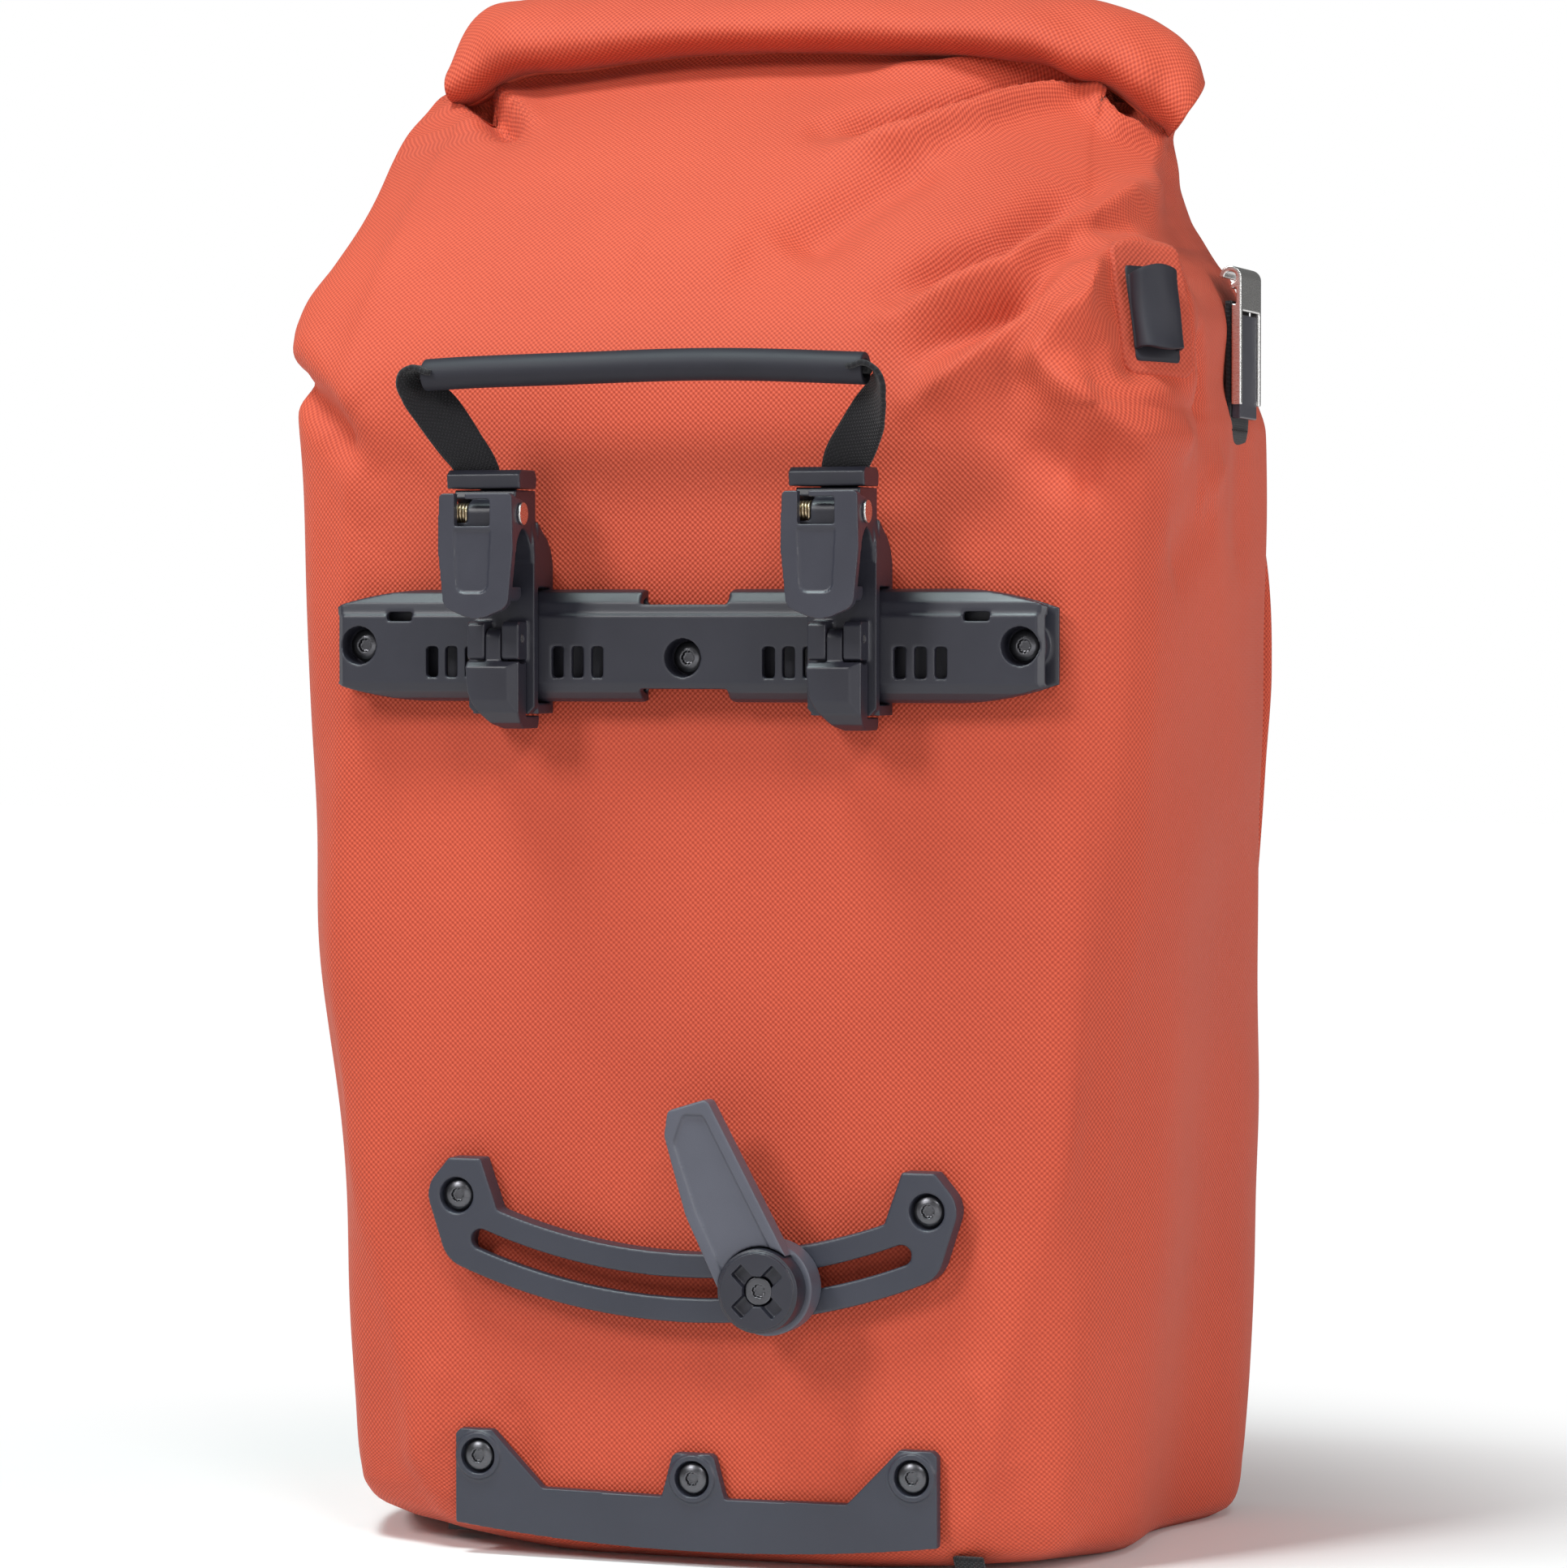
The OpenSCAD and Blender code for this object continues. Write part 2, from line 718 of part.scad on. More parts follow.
// ---------------------------------------------------------------- scuff plate

module plate_outline() {
    bottom_r = 577;
    intersection() {
        polygon([[-plate_w, -5], [-plate_w, 36], [-plate_w + 1.5, 37.5], [-63.5, 37.5], [-47.5, 21],
                 [-9.8, 20.4], [-6.6, 32.4], [-5.4, 33.4], [5.4, 33.4], [6.6, 32.4], [9.8, 20.4],
                 [47.5, 21], [63.5, 37.5], [plate_w - 1.5, 37.5], [plate_w, 36], [plate_w, -5]]);
        translate([0, bottom_r + 4.6]) circle(r = bottom_r, $fn = 240);
    }
}

module scuff_plate() {
    color(slate) difference() {
        union() {
            along_y(-0.1, -plate_t) plate_outline();
            for (s = plate_screws) rod_y(s.x, s.y, 7, -plate_t + 0.1, -plate_t - 1);
        }
        for (s = plate_screws) {
            rod_y(s.x, s.y, bolt_hole_r, 1, -plate_t - 3);
            rod_y(s.x, s.y, 5.3, -2.4, -plate_t - 3);
        }
    }
}

module scuff_bolts() {
    color(slate) for (s = plate_screws) dome_bolt(s.x, s.y, -2.4, wall + 11);
}

module scuff_nuts() {
    color(steel) for (s = plate_screws) barrel_nut(s.x, s.y);
}

// ---------------------------------------------------------------- side loops and hooks

corner_r = 26;
loop_low = 8;
loop_high = 33;

// Places something on the right rounded back corner above the shoulder, leaning with the cloth.
module on_corner() {
    reach = (corner_r + 0.4) * cos(45);
    translate([shoulder_w - corner_r + reach, corner_r - reach, shoulder_z])
        rotate([0, 0, -45]) rotate([0, -13.3, 0]) children();
}

module side_patch() {
    color(slate) on_corner() block([0, -13, loop_low - 5], [1, 13, loop_high + 4]);
}

// Strip bent into a tunnel that a lamp clip or strap goes through.
module side_loop() {
    color(slate) on_corner() difference() {
        block([1.1, -10, loop_low], [8.4, 10, loop_high]);
        block([2.6, -8, loop_low - 1], [7, 8, loop_high + 1]);
    }
}

strap_x = 135.4;
strap_y = 102;
strap_z = 352;

module side_strap(side) {
    color(black) mirrored(side)
        block([strap_x, strap_y - 12, 306], [strap_x + 1.6, strap_y + 12, strap_z + 20]);
}

module side_tab(side) {
    color(slate) mirrored(side) difference() {
        block([strap_x + 1.8, strap_y - 10, strap_z - 14], [strap_x + 4.4, strap_y + 10, strap_z + 17]);
        rod_y(strap_x + 3.1, strap_z - 9, 0.9, strap_y + 12, strap_y - 12);
    }
}

// Bent metal hook: bar through the tab, plate and a rounded nose.
module side_hook(side) {
    color(steel) mirrored(side) {
        rod_y(strap_x + 3.1, strap_z - 9, 0.8, strap_y + 11.6, strap_y - 11.6);
        for (y = [strap_y - 12.4, strap_y + 10.4])
            block([strap_x + 2.2, y, strap_z - 10], [strap_x + 5.2, y + 2, strap_z + 20]);
        translate([0, strap_y, 0]) rotate([90, 0, 0]) linear_extrude(24.8, center = true)
            difference() {
                translate([strap_x + 1.8, strap_z + 28]) circle(r = 3.4);
                translate([strap_x + 1.8, strap_z + 28]) circle(r = 1.8);
                translate([strap_x - 4, strap_z + 18]) square([5.8, 10]);
            }
        block([strap_x + 3.6, strap_y - 12.4, strap_z + 18], [strap_x + 5.2, strap_y + 12.4, strap_z + 28.2]);
    }
}

// Small webbing tab sewn to the lower back edge.
module bottom_loop() {
    color(black) translate([78, 0, 0]) along_x(12)
        polygon([[8.9, 2.9], [1.4, 10.4], [0.4, 9.4], [7.9, 1.9]]);
}

// ---------------------------------------------------------------- assembly

translate([0, back_y, 0]) {
    back_panel();
    front_panel();
    base_panel();
    side_panel(-1);  // side_panel_left
    side_panel(1);  // side_panel_right
    roll_closure();
    roll_stiffener();
    back_stiffener();
    base_board();
    front_pocket();
    zipper_tape();
    zipper_coil();
    zip_slider();
    zip_pull();
    top_rail();
    rail_bolts();
    rail_nuts();
    arc_rail();
    arc_bolts();
    arc_nuts();
    scuff_plate();
    scuff_bolts();
    scuff_nuts();
    hook_body(-1);  // hook_body_left
    hook_jaw(-1);  // hook_jaw_left
    jaw_pin(-1);  // jaw_pin_left
    jaw_spring(-1);  // jaw_spring_left
    rail_latch(-1);  // rail_latch_left
    latch_pin(-1);  // latch_pin_left
    strap_cap(-1);  // strap_cap_left
    hook_body(1);  // hook_body_right
    hook_jaw(1);  // hook_jaw_right
    jaw_pin(1);  // jaw_pin_right
    jaw_spring(1);  // jaw_spring_right
    rail_latch(1);  // rail_latch_right
    latch_pin(1);  // latch_pin_right
    strap_cap(1);  // strap_cap_right
    handle_grip();
    handle_webbing();
    foot_nut();
    foot_arm();
    foot_knob();
    foot_bolt();
    side_patch();
    side_loop();
    side_strap(-1);  // side_strap_left
    side_strap(1);  // side_strap_right
    side_tab(-1);  // side_tab_left
    side_tab(1);  // side_tab_right
    side_hook(-1);  // side_hook_left
    side_hook(1);  // side_hook_right
    bottom_loop();
}
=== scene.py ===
"""Looks of the roll-top pannier bag: cloth, webbing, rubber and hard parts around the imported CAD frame."""

import json
import math

import bpy
import numpy as np
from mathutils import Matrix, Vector
from mathutils.bvhtree import BVHTree

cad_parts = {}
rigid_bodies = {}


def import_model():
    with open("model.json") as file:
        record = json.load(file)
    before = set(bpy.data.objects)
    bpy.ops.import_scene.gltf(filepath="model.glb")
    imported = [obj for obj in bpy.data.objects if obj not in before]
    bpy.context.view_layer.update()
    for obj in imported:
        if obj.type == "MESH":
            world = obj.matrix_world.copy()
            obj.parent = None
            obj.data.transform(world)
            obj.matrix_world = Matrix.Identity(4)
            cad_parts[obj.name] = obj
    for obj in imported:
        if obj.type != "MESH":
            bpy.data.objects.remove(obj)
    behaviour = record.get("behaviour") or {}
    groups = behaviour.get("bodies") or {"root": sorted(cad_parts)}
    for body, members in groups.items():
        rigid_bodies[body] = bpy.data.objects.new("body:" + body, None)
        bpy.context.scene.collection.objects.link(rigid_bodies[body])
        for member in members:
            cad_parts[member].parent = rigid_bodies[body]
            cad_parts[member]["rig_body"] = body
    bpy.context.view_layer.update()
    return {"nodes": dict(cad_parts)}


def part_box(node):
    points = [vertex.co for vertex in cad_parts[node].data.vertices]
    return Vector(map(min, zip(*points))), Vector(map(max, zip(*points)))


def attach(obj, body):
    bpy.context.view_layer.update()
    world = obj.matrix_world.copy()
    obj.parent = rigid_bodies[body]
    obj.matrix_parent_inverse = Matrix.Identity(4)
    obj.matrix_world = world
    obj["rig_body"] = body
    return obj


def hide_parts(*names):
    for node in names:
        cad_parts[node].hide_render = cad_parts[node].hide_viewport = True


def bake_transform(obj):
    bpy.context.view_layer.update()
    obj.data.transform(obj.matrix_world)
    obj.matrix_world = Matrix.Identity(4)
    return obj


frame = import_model()

MM = 0.001
SIDES = {"left": -1, "right": 1}
BACK_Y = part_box("back_panel")[0].y


def at(x, y, z):
    """A point given in millimetres from the middle of the bag's back wall at the ground, in the row frame."""
    return Vector((x * MM, BACK_Y + y * MM, z * MM))


def placed(points):
    """The same for an array of points, for a mesh."""
    return points * MM + [0, BACK_Y, 0]


def new_object(name, data):
    made = bpy.data.objects.new(name, data)
    bpy.context.collection.objects.link(made)
    return made


# ---- materials


class Shader:
    """A material's node tree with short ways to add and join nodes."""

    def __init__(self, name):
        self.material = bpy.data.materials.new(name)
        self.material.use_nodes = True
        self.tree = self.material.node_tree
        self.surface = self.tree.nodes["Principled BSDF"]

    def node(self, kind, **values):
        made = self.tree.nodes.new("ShaderNode" + kind)
        for key, value in values.items():
            setattr(made, key, value)
        return made

    def link(self, source, target):
        self.tree.links.new(source, target)

    def fill(self, socket, value):
        """Gives a socket a number, a colour or the output of another node."""
        if isinstance(value, (int, float)):
            socket.default_value = value
        elif isinstance(value, tuple):
            socket.default_value = (*value, 1)
        else:
            self.link(value, socket)

    def math(self, operation, a, b=0.0, c=0.0):
        made = self.node("Math", operation=operation)
        for socket, value in zip(made.inputs, (a, b, c)):
            self.fill(socket, value)
        return made.outputs[0]

    def mix(self, factor, a, b):
        made = self.node("Mix", data_type="RGBA")
        for socket, value in ((made.inputs[0], factor), (made.inputs[6], a), (made.inputs[7], b)):
            self.fill(socket, value)
        return made.outputs[2]

    def put(self, made, **inputs):
        """Fills a node's sockets by name, spaces written as underscores, and gives its first output."""
        for name, value in inputs.items():
            self.fill(made.inputs[name.replace("_", " ")], value)
        return made.outputs[0]

    def noise(self, coordinates, scale, detail=3.0, roughness=0.5):
        made = self.node("TexNoise")
        return self.put(made, Vector=coordinates, Scale=scale, Detail=detail, Roughness=roughness)

    def ranged(self, value, low, high):
        return self.put(self.node("MapRange"), Value=value, To_Min=low, To_Max=high)

    def object_place(self):
        return self.node("TexCoord").outputs["Object"]

    def cloth_place(self):
        """The cloth's own (across, along) coordinates, in millimetres."""
        split = self.node("SeparateXYZ")
        self.link(self.node("UVMap", uv_map="cloth").outputs[0], split.inputs[0])
        return split.outputs[0], split.outputs[1]

    def bump(self, height, distance, strength=1.0, **under):
        return self.put(self.node("Bump"), Distance=distance, Strength=strength, Height=height, **under)

    def finish(self, **inputs):
        self.put(self.surface, **inputs)
        return self.material


def coarse_cloth(name, light, dark, pitch):
    """Coated canvas: thick yarns over and under each other, with slubs and faint handling marks."""
    s = Shader(name)
    across, along = s.cloth_place()
    place = s.object_place()
    wobble = s.ranged(s.noise(place, 160, 2), -0.25, 0.25)
    warp = s.math("SINE", s.math("MULTIPLY", s.math("ADD", across, wobble), math.tau / pitch))
    weft = s.math("SINE", s.math("MULTIPLY", s.math("ADD", along, wobble), math.tau / pitch))
    yarn = s.ranged(s.math("MULTIPLY", warp, weft), 0.0, 1.0)
    yarn.node.inputs["From Min"].default_value = -1.0
    slub = s.noise(place, 420, 2, 0.6)
    patch = s.noise(place, 9, 3, 0.55)
    height = s.math("ADD", yarn, s.math("MULTIPLY", slub, 0.5))
    tone = s.math("ADD", s.math("MULTIPLY", yarn, 0.7), s.math("MULTIPLY", patch, 0.3))
    return s.finish(
        Base_Color=s.mix(tone, dark, light),
        Roughness=s.ranged(patch, 0.62, 0.74),
        Specular_IOR_Level=0.32,
        Sheen_Weight=0.10,
        Sheen_Roughness=0.4,
        Sheen_Tint=(1.0, 0.66, 0.56),
        Normal=s.bump(height, 0.24 * MM, 0.9),
    )


def ribbed_webbing(name, light, dark, pitch):
    """Narrow woven webbing: ribs across the strap, broken up by the warp yarns."""
    s = Shader(name)
    across, along = s.cloth_place()
    place = s.object_place()
    warp = s.math("SINE", s.math("MULTIPLY", across, math.tau / (pitch * 1.1)))
    shifted = s.math("ADD", along, s.math("MULTIPLY", s.math("SIGN", warp), pitch / 4))
    rib = s.math("SINE", s.math("MULTIPLY", shifted, math.tau / pitch))
    height = s.math("ADD", s.ranged(rib, 0.0, 0.7), s.math("ABSOLUTE", s.math("MULTIPLY", warp, 0.5)))
    return s.finish(
        Base_Color=s.mix(s.math("MULTIPLY", height, 0.8), dark, light),
        Roughness=0.78,
        Specular_IOR_Level=0.25,
        Sheen_Weight=0.15,
        Normal=s.bump(s.math("ADD", height, s.math("MULTIPLY", s.noise(place, 900, 2), 0.4)), 0.25 * MM, 0.9),
    )


def moulded_plastic(name, light, dark, roughness=0.46, grain=0.05):
    """Glass-filled nylon: spark-eroded grain, cloudy sheen and faint scuffs."""
    s = Shader(name)
    place = s.object_place()
    cloud = s.noise(place, 28, 4, 0.6)
    fine = s.noise(place, 2600, 3, 0.7)
    scuff = s.noise(place, 150, 5, 0.75)
    worn = s.math("GREATER_THAN", scuff, 0.69)
    tone = s.math("ADD", s.math("MULTIPLY", cloud, 0.7), s.math("MULTIPLY", fine, 0.3))
    rough = s.ranged(cloud, roughness - 0.06, roughness + 0.08)
    return s.finish(
        Base_Color=s.mix(tone, dark, light),
        Roughness=s.math("SUBTRACT", rough, s.math("MULTIPLY", worn, 0.05)),
        Specular_IOR_Level=0.5,
        Normal=s.bump(fine, grain * MM, 0.6, Normal=s.bump(cloud, 0.3 * MM, 0.15)),
    )


def soft_rubber(name, light, dark):
    """Dull rubber with a fine grain."""
    s = Shader(name)
    place = s.object_place()
    cloud = s.noise(place, 45, 4, 0.6)
    fine = s.noise(place, 1800, 2, 0.6)
    return s.finish(
        Base_Color=s.mix(cloud, dark, light),
        Roughness=s.ranged(cloud, 0.5, 0.66),
        Specular_IOR_Level=0.28,
        Normal=s.bump(fine, 0.05 * MM, 0.5),
    )


def bare_metal(name, light, dark, roughness):
    """Metal with a drawn, brushed surface."""
    s = Shader(name)
    place = s.object_place()
    stretch = s.node("Mapping")
    stretch.inputs["Scale"].default_value = (1, 1, 14)
    s.link(place, stretch.inputs["Vector"])
    brushed = s.noise(stretch.outputs[0], 700, 3, 0.6)
    return s.finish(
        Base_Color=s.mix(brushed, dark, light),
        Metallic=1.0,
        Roughness=s.ranged(brushed, roughness - 0.06, roughness + 0.1),
        Normal=s.bump(brushed, 0.02 * MM, 0.4),
    )


LOOKS = {
    "cloth": coarse_cloth("orange_canvas", (0.70, 0.112, 0.053), (0.28, 0.021, 0.009), 1.6),
    "welded": coarse_cloth("welded_canvas", (0.57, 0.092, 0.046), (0.31, 0.034, 0.017), 1.6),
    "web": ribbed_webbing("black_webbing_weave", (0.015, 0.014, 0.017), (0.002, 0.002, 0.003), 1.3),
    "rail": moulded_plastic("rail_nylon", (0.026, 0.026, 0.038), (0.010, 0.010, 0.016), 0.38),
    "hook": moulded_plastic("hook_nylon", (0.040, 0.040, 0.056), (0.016, 0.016, 0.024), 0.38),
    "arc": moulded_plastic("arc_nylon", (0.040, 0.042, 0.060), (0.020, 0.022, 0.032), 0.42),
    "arm": moulded_plastic("arm_nylon", (0.098, 0.100, 0.128), (0.054, 0.055, 0.072), 0.40),
    "screw": bare_metal("blackened_steel", (0.17, 0.17, 0.18), (0.07, 0.07, 0.08), 0.30),
    "rubber": soft_rubber("grip_rubber", (0.024, 0.023, 0.032), (0.012, 0.012, 0.017)),
    "steel": bare_metal("satin_steel", (0.80, 0.79, 0.77), (0.62, 0.61, 0.60), 0.26),
    "brass": bare_metal("spring_wire", (0.72, 0.60, 0.42), (0.48, 0.38, 0.24), 0.3),
    "board": moulded_plastic("polyethylene_sheet", (0.03, 0.03, 0.032), (0.018, 0.018, 0.02), 0.55, 0.1),
}


# ---- camera, light, floor


CAMERA = {"place": (549.2, -1517.1, 276), "tilt": 1.65, "turn": 19, "lens": 126.7}
STUDIO_MIDDLE = (0, 0, 0.25)

# Lamps, all turned to the middle: place and size in metres, power in watts, colour.
WHITE = (1, 1, 1)
SOFTBOXES = {
    "key": ((-0.95, -1.7, 1.45), (0.45, 0.6), 23, WHITE),
    "top": ((-0.35, -0.6, 1.75), (0.5, 0.4), 24, (0.84, 1, 1)),
    "front": ((0.5, -1.9, 0.15), (1.2, 0.7), 4, WHITE),
    "right": ((0.95, -1.45, 1.45), (0.45, 0.5), 8, WHITE),
    "side": ((1.9, -0.6, 0.8), (0.5, 1.3), 17, WHITE),
    "edge": ((-1.9, 0.3, 0.7), (0.4, 1.5), 3, WHITE),
}


def add_camera():
    """The long lens of the photo: from the bike side, turned a little to the right."""
    camera = new_object("camera", bpy.data.cameras.new("camera"))
    camera.location = at(*CAMERA["place"])
    camera.rotation_euler = (math.radians(90 - CAMERA["tilt"]), 0, math.radians(CAMERA["turn"]))
    camera.data.lens = CAMERA["lens"]
    camera.data.clip_start = 0.05
    bpy.context.scene.camera = camera


def add_softbox(name, place, size, energy, colour):
    """A rectangular lamp facing the middle of the studio."""
    light = bpy.data.lights.new(name, "AREA")
    light.shape = "RECTANGLE"
    light.size, light.size_y = size
    light.energy = energy
    light.color = colour
    lamp = new_object(name, light)
    lamp.location = place
    lamp.rotation_euler = (Vector(STUDIO_MIDDLE) - Vector(place)).to_track_quat("-Z", "Y").to_euler()


def add_studio():
    """A white backdrop for the camera, a weak white fill for everything else, and the softboxes."""
    scene = bpy.context.scene
    scene.view_settings.view_transform = "Standard"
    scene.world = bpy.data.worlds.new("studio")
    scene.world.use_nodes = True
    tree = scene.world.node_tree
    fill = tree.nodes["Background"]
    fill.inputs["Color"].default_value = (1, 1, 1, 1)
    fill.inputs["Strength"].default_value = 0.14
    backdrop = tree.nodes.new("ShaderNodeBackground")
    backdrop.inputs["Color"].default_value = (1, 1, 1, 1)
    seen = tree.nodes.new("ShaderNodeLightPath")
    mix = tree.nodes.new("ShaderNodeMixShader")
    tree.links.new(seen.outputs["Is Camera Ray"], mix.inputs[0])
    tree.links.new(fill.outputs[0], mix.inputs[1])
    tree.links.new(backdrop.outputs[0], mix.inputs[2])
    tree.links.new(mix.outputs[0], tree.nodes["World Output"].inputs[0])
    for name, settings in SOFTBOXES.items():
        add_softbox(name, *settings)


FLOOR_SHADOW, FLOOR_CLEAR = 0.13, 0.4


def add_floor():
    """A pale floor that takes a shadow near the bag and fades into the backdrop further out."""
    bpy.ops.mesh.primitive_plane_add(size=12)
    floor = bpy.context.object
    floor.name = "floor"
    s = Shader("pale_floor")
    length = s.node("VectorMath", operation="LENGTH")
    s.link(s.object_place(), length.inputs[0])
    far = s.put(s.node("MapRange", interpolation_type="SMOOTHSTEP"), Value=length.outputs["Value"],
                From_Min=FLOOR_SHADOW, From_Max=FLOOR_CLEAR)
    tone = s.ranged(s.noise(s.object_place(), 3, 2), 0.9, 0.93)
    floor.data.materials.append(s.finish(
        Base_Color=s.mix(far, s.mix(tone, (0, 0, 0), (1, 1, 1)), (0, 0, 0)),
        Roughness=0.8,
        Specular_IOR_Level=0.1,
        Emission_Color=(1, 1, 1),
        Emission_Strength=far,
    ))


# ---- mesh helpers


def smooth_step(t):
    """0 below 0, 1 above 1, with a soft rise between."""
    t = np.clip(t, 0, 1)
    return t * t * (3 - 2 * t)


def unit(vector):
    """One vector brought to length one."""
    return np.asarray(vector) / np.linalg.norm(vector)


def units(rows):
    """Vectors (the last axis) brought to length one."""
    return rows / np.maximum(np.linalg.norm(rows, axis=-1, keepdims=True), 1e-9)


def lengths_along(path):
    """Length from the start of a path to each of its points."""
    return np.concatenate([[0], np.cumsum(np.linalg.norm(np.diff(path, axis=0), axis=1))])


def hermite(a, b, leaving, arriving, t):
    """The curve from a to b with the given slopes at its ends, t running from 0 to 1."""
    return (a * (1 + 2 * t) * (1 - t) ** 2 + leaving * t * (1 - t) ** 2
            + b * t * t * (3 - 2 * t) + arriving * t * t * (t - 1))


def cubic(knots, values, where):
    """Smooth interpolation through (knot, value) pairs, without overshoot."""
    knots, values, where = np.asarray(knots, float), np.asarray(values, float), np.asarray(where, float)
    slope = np.diff(values) / np.diff(knots)
    tangent = np.concatenate([slope[:1], (slope[:-1] + slope[1:]) / 2, slope[-1:]])
    tangent[1:-1][slope[:-1] * slope[1:] <= 0] = 0
    limit = 3 * np.minimum(np.abs(slope[:-1]), np.abs(slope[1:]))
    tangent[1:-1] = np.clip(tangent[1:-1], -limit, limit)
    i = np.clip(np.searchsorted(knots, where) - 1, 0, len(knots) - 2)
    h = knots[i + 1] - knots[i]
    t = np.clip((where - knots[i]) / h, 0, 1)
    return hermite(values[i], values[i + 1], tangent[i] * h, tangent[i + 1] * h, t)


def new_mesh(name, points, faces):
    mesh = bpy.data.meshes.new(name)
    mesh.from_pydata([tuple(p) for p in points], [], [tuple(f) for f in faces])
    return mesh


def set_cloth(mesh, cloth):
    """Gives each point's weave coordinates to the corners of its faces."""
    corner = np.zeros(len(mesh.loops), int)
    mesh.loops.foreach_get("vertex_index", corner)
    layer = mesh.uv_layers.new(name="cloth")
    layer.data.foreach_set("uv", np.asarray(cloth, np.float32)[corner].ravel())


def add_mesh(name, points, faces, look, body, cloth=None, replaces=()):
    """A new piece from points in metres, riding on a body; cloth gives each point's weave coordinates."""
    mesh = new_mesh(name, points, faces)
    if cloth is not None:
        set_cloth(mesh, cloth)
    return add_piece(name, mesh, look, body, replaces)


def add_piece(name, mesh, look, body, replaces=()):
    """Puts a mesh in the scene with its look, on its body and in place of its CAD nodes."""
    mesh.materials.clear()
    mesh.materials.append(LOOKS[look])
    mesh.shade_smooth()
    piece = new_object(name, mesh)
    if body is not None:
        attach(piece, body)
    if replaces:
        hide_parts(*replaces)
    return piece


def modified(mesh, *modifiers):
    """The mesh after a stack of (type, settings) modifiers."""
    carrier = new_object("carrier", mesh)
    for kind, settings in modifiers:
        modifier = carrier.modifiers.new(kind, kind)
        for key, value in settings.items():
            setattr(modifier, key, value)
    depsgraph = bpy.context.evaluated_depsgraph_get()
    result = bpy.data.meshes.new_from_object(carrier.evaluated_get(depsgraph))
    bpy.data.objects.remove(carrier)
    return result


def grid_faces(rows, columns, wrap=False):
    """Quads of a grid of points, row by row; wrap joins the last column to the first."""
    across = columns if wrap else columns - 1
    return [(r * columns + c, r * columns + (c + 1) % columns,
             (r + 1) * columns + (c + 1) % columns, (r + 1) * columns + c)
            for r in range(rows - 1) for c in range(across)]


def moulded(node, look, voxel):
    """A CAD node with the rounded edges of a moulding: fine voxels, smoothed, then thinned out."""
    source = frame["nodes"][node]
    mesh = modified(
        source.data.copy(),
        ("REMESH", {"mode": "VOXEL", "voxel_size": voxel * MM, "adaptivity": 0.0}),
        ("SMOOTH", {"factor": 0.5, "iterations": 3}),
        ("DECIMATE", {"ratio": 0.35}),
    )
    return add_piece(node + "_moulded", mesh, look, source["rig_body"], (node,))


def finish_nodes():
    """Materials for the CAD nodes that stay as they are."""
    boards = ("back_stiffener", "roll_stiffener", "base_board")
    for node, source in frame["nodes"].items():
        metal = node.endswith("_nuts") or node == "foot_nut" or node.startswith("latch_pin")
        look = "steel" if metal else "board" if node in boards else "hook"
        source.data.materials.clear()
        source.data.materials.append(LOOKS[look])


# ---- the sack

BASE_LIFT = 0.6

# Half-widths and depths of the filled sack at each height, in millimetres: height, crease, back corner,
# widest, front corner, back wall, front wall.
SACK = [
    (0, 78, 100, 110, 117, 13, 156),
    (3, 79, 106, 115, 122.5, 5.5, 162.5),
    (9, 81, 110.5, 118, 125.5, 1.6, 166),
    (18, 84, 112.5, 119.5, 126, 0.2, 167),
    (45, 90, 115, 122, 128, 0, 168),
    (75, 96, 117.2, 125, 129, 0, 168),
    (121, 105.5, 120, 129, 130.4, 0, 168),
    (155, 108.5, 124, 131.5, 130.8, 0, 168),
    (195, 110.8, 128.3, 134, 131, 0, 168),
    (244, 112, 132.2, 136, 131.2, 0, 168),
    (300, 112.5, 135.4, 138, 131.8, 0, 168),
    (329, 112.5, 137.5, 139, 132.2, 0, 167),
    (350, 112, 139, 139.5, 131, 1.5, 165),
    (363, 111, 140, 140, 129.5, 6.5, 162),
    (376, 108, 137.5, 138, 127.5, 14, 158),
    (390, 106, 131, 132, 124.5, 25, 152),
    (404, 104, 125.5, 127, 121.5, 39, 146),
    (420, 102, 122.5, 123.5, 119, 57, 138),
    (434, 100, 120.5, 121, 117, 76, 130),
    (444, 98, 119, 119, 116, 92, 124),
    (450, 97, 118, 118, 115.5, 102, 117.5),
    (456, 97, 117.5, 117.5, 115.5, 107, 115),
]

# How much wider (or narrower) than the table each side of this filled bag is, by height.
LEFT_EXTRA = [(0, 5), (25, 4.4), (60, 2.6), (150, 1.7), (205, 0.9), (250, -0.4), (300, -1.4), (335, -2),
              (352, -1), (364, -0.5), (376, 1), (390, 2), (403, 3.6), (416, 5), (430, 8.2), (440, 9.4),
              (448, 7), (456, 3)]
RIGHT_EXTRA = [(0, 0), (335, 0), (350, -3.5), (376, -3), (394, -1.8), (401, -3.4), (411, -5.4), (419, -7.4),
               (430, -7.6), (439, -6.5), (448, -6), (456, -3)]


def droop(x):
    """How far the closed top hangs below its middle, towards each end of the roll."""
    x = np.asarray(x, float)
    left = 9 * np.clip(-x / 120, 0, 1.1) ** 2.6
    right = 29 * np.clip((x - 35) / 83, 0, 1.05) ** 2
    return left + right


def lopsided(points, z):
    """Pushes an outline's two sides in or out by what this bag shows at that height."""
    left = cubic(*zip(*LEFT_EXTRA), z)
    right = cubic(*zip(*RIGHT_EXTRA), z)
    x, y = points[:, 0], points[:, 1]
    outer = smooth_step((np.abs(x) - 55) / 60)
    rear = smooth_step((y - 45) / 55) if z > 340 else 1
    return np.column_stack([x + outer * np.where(x < 0, -left, right * rear), y])


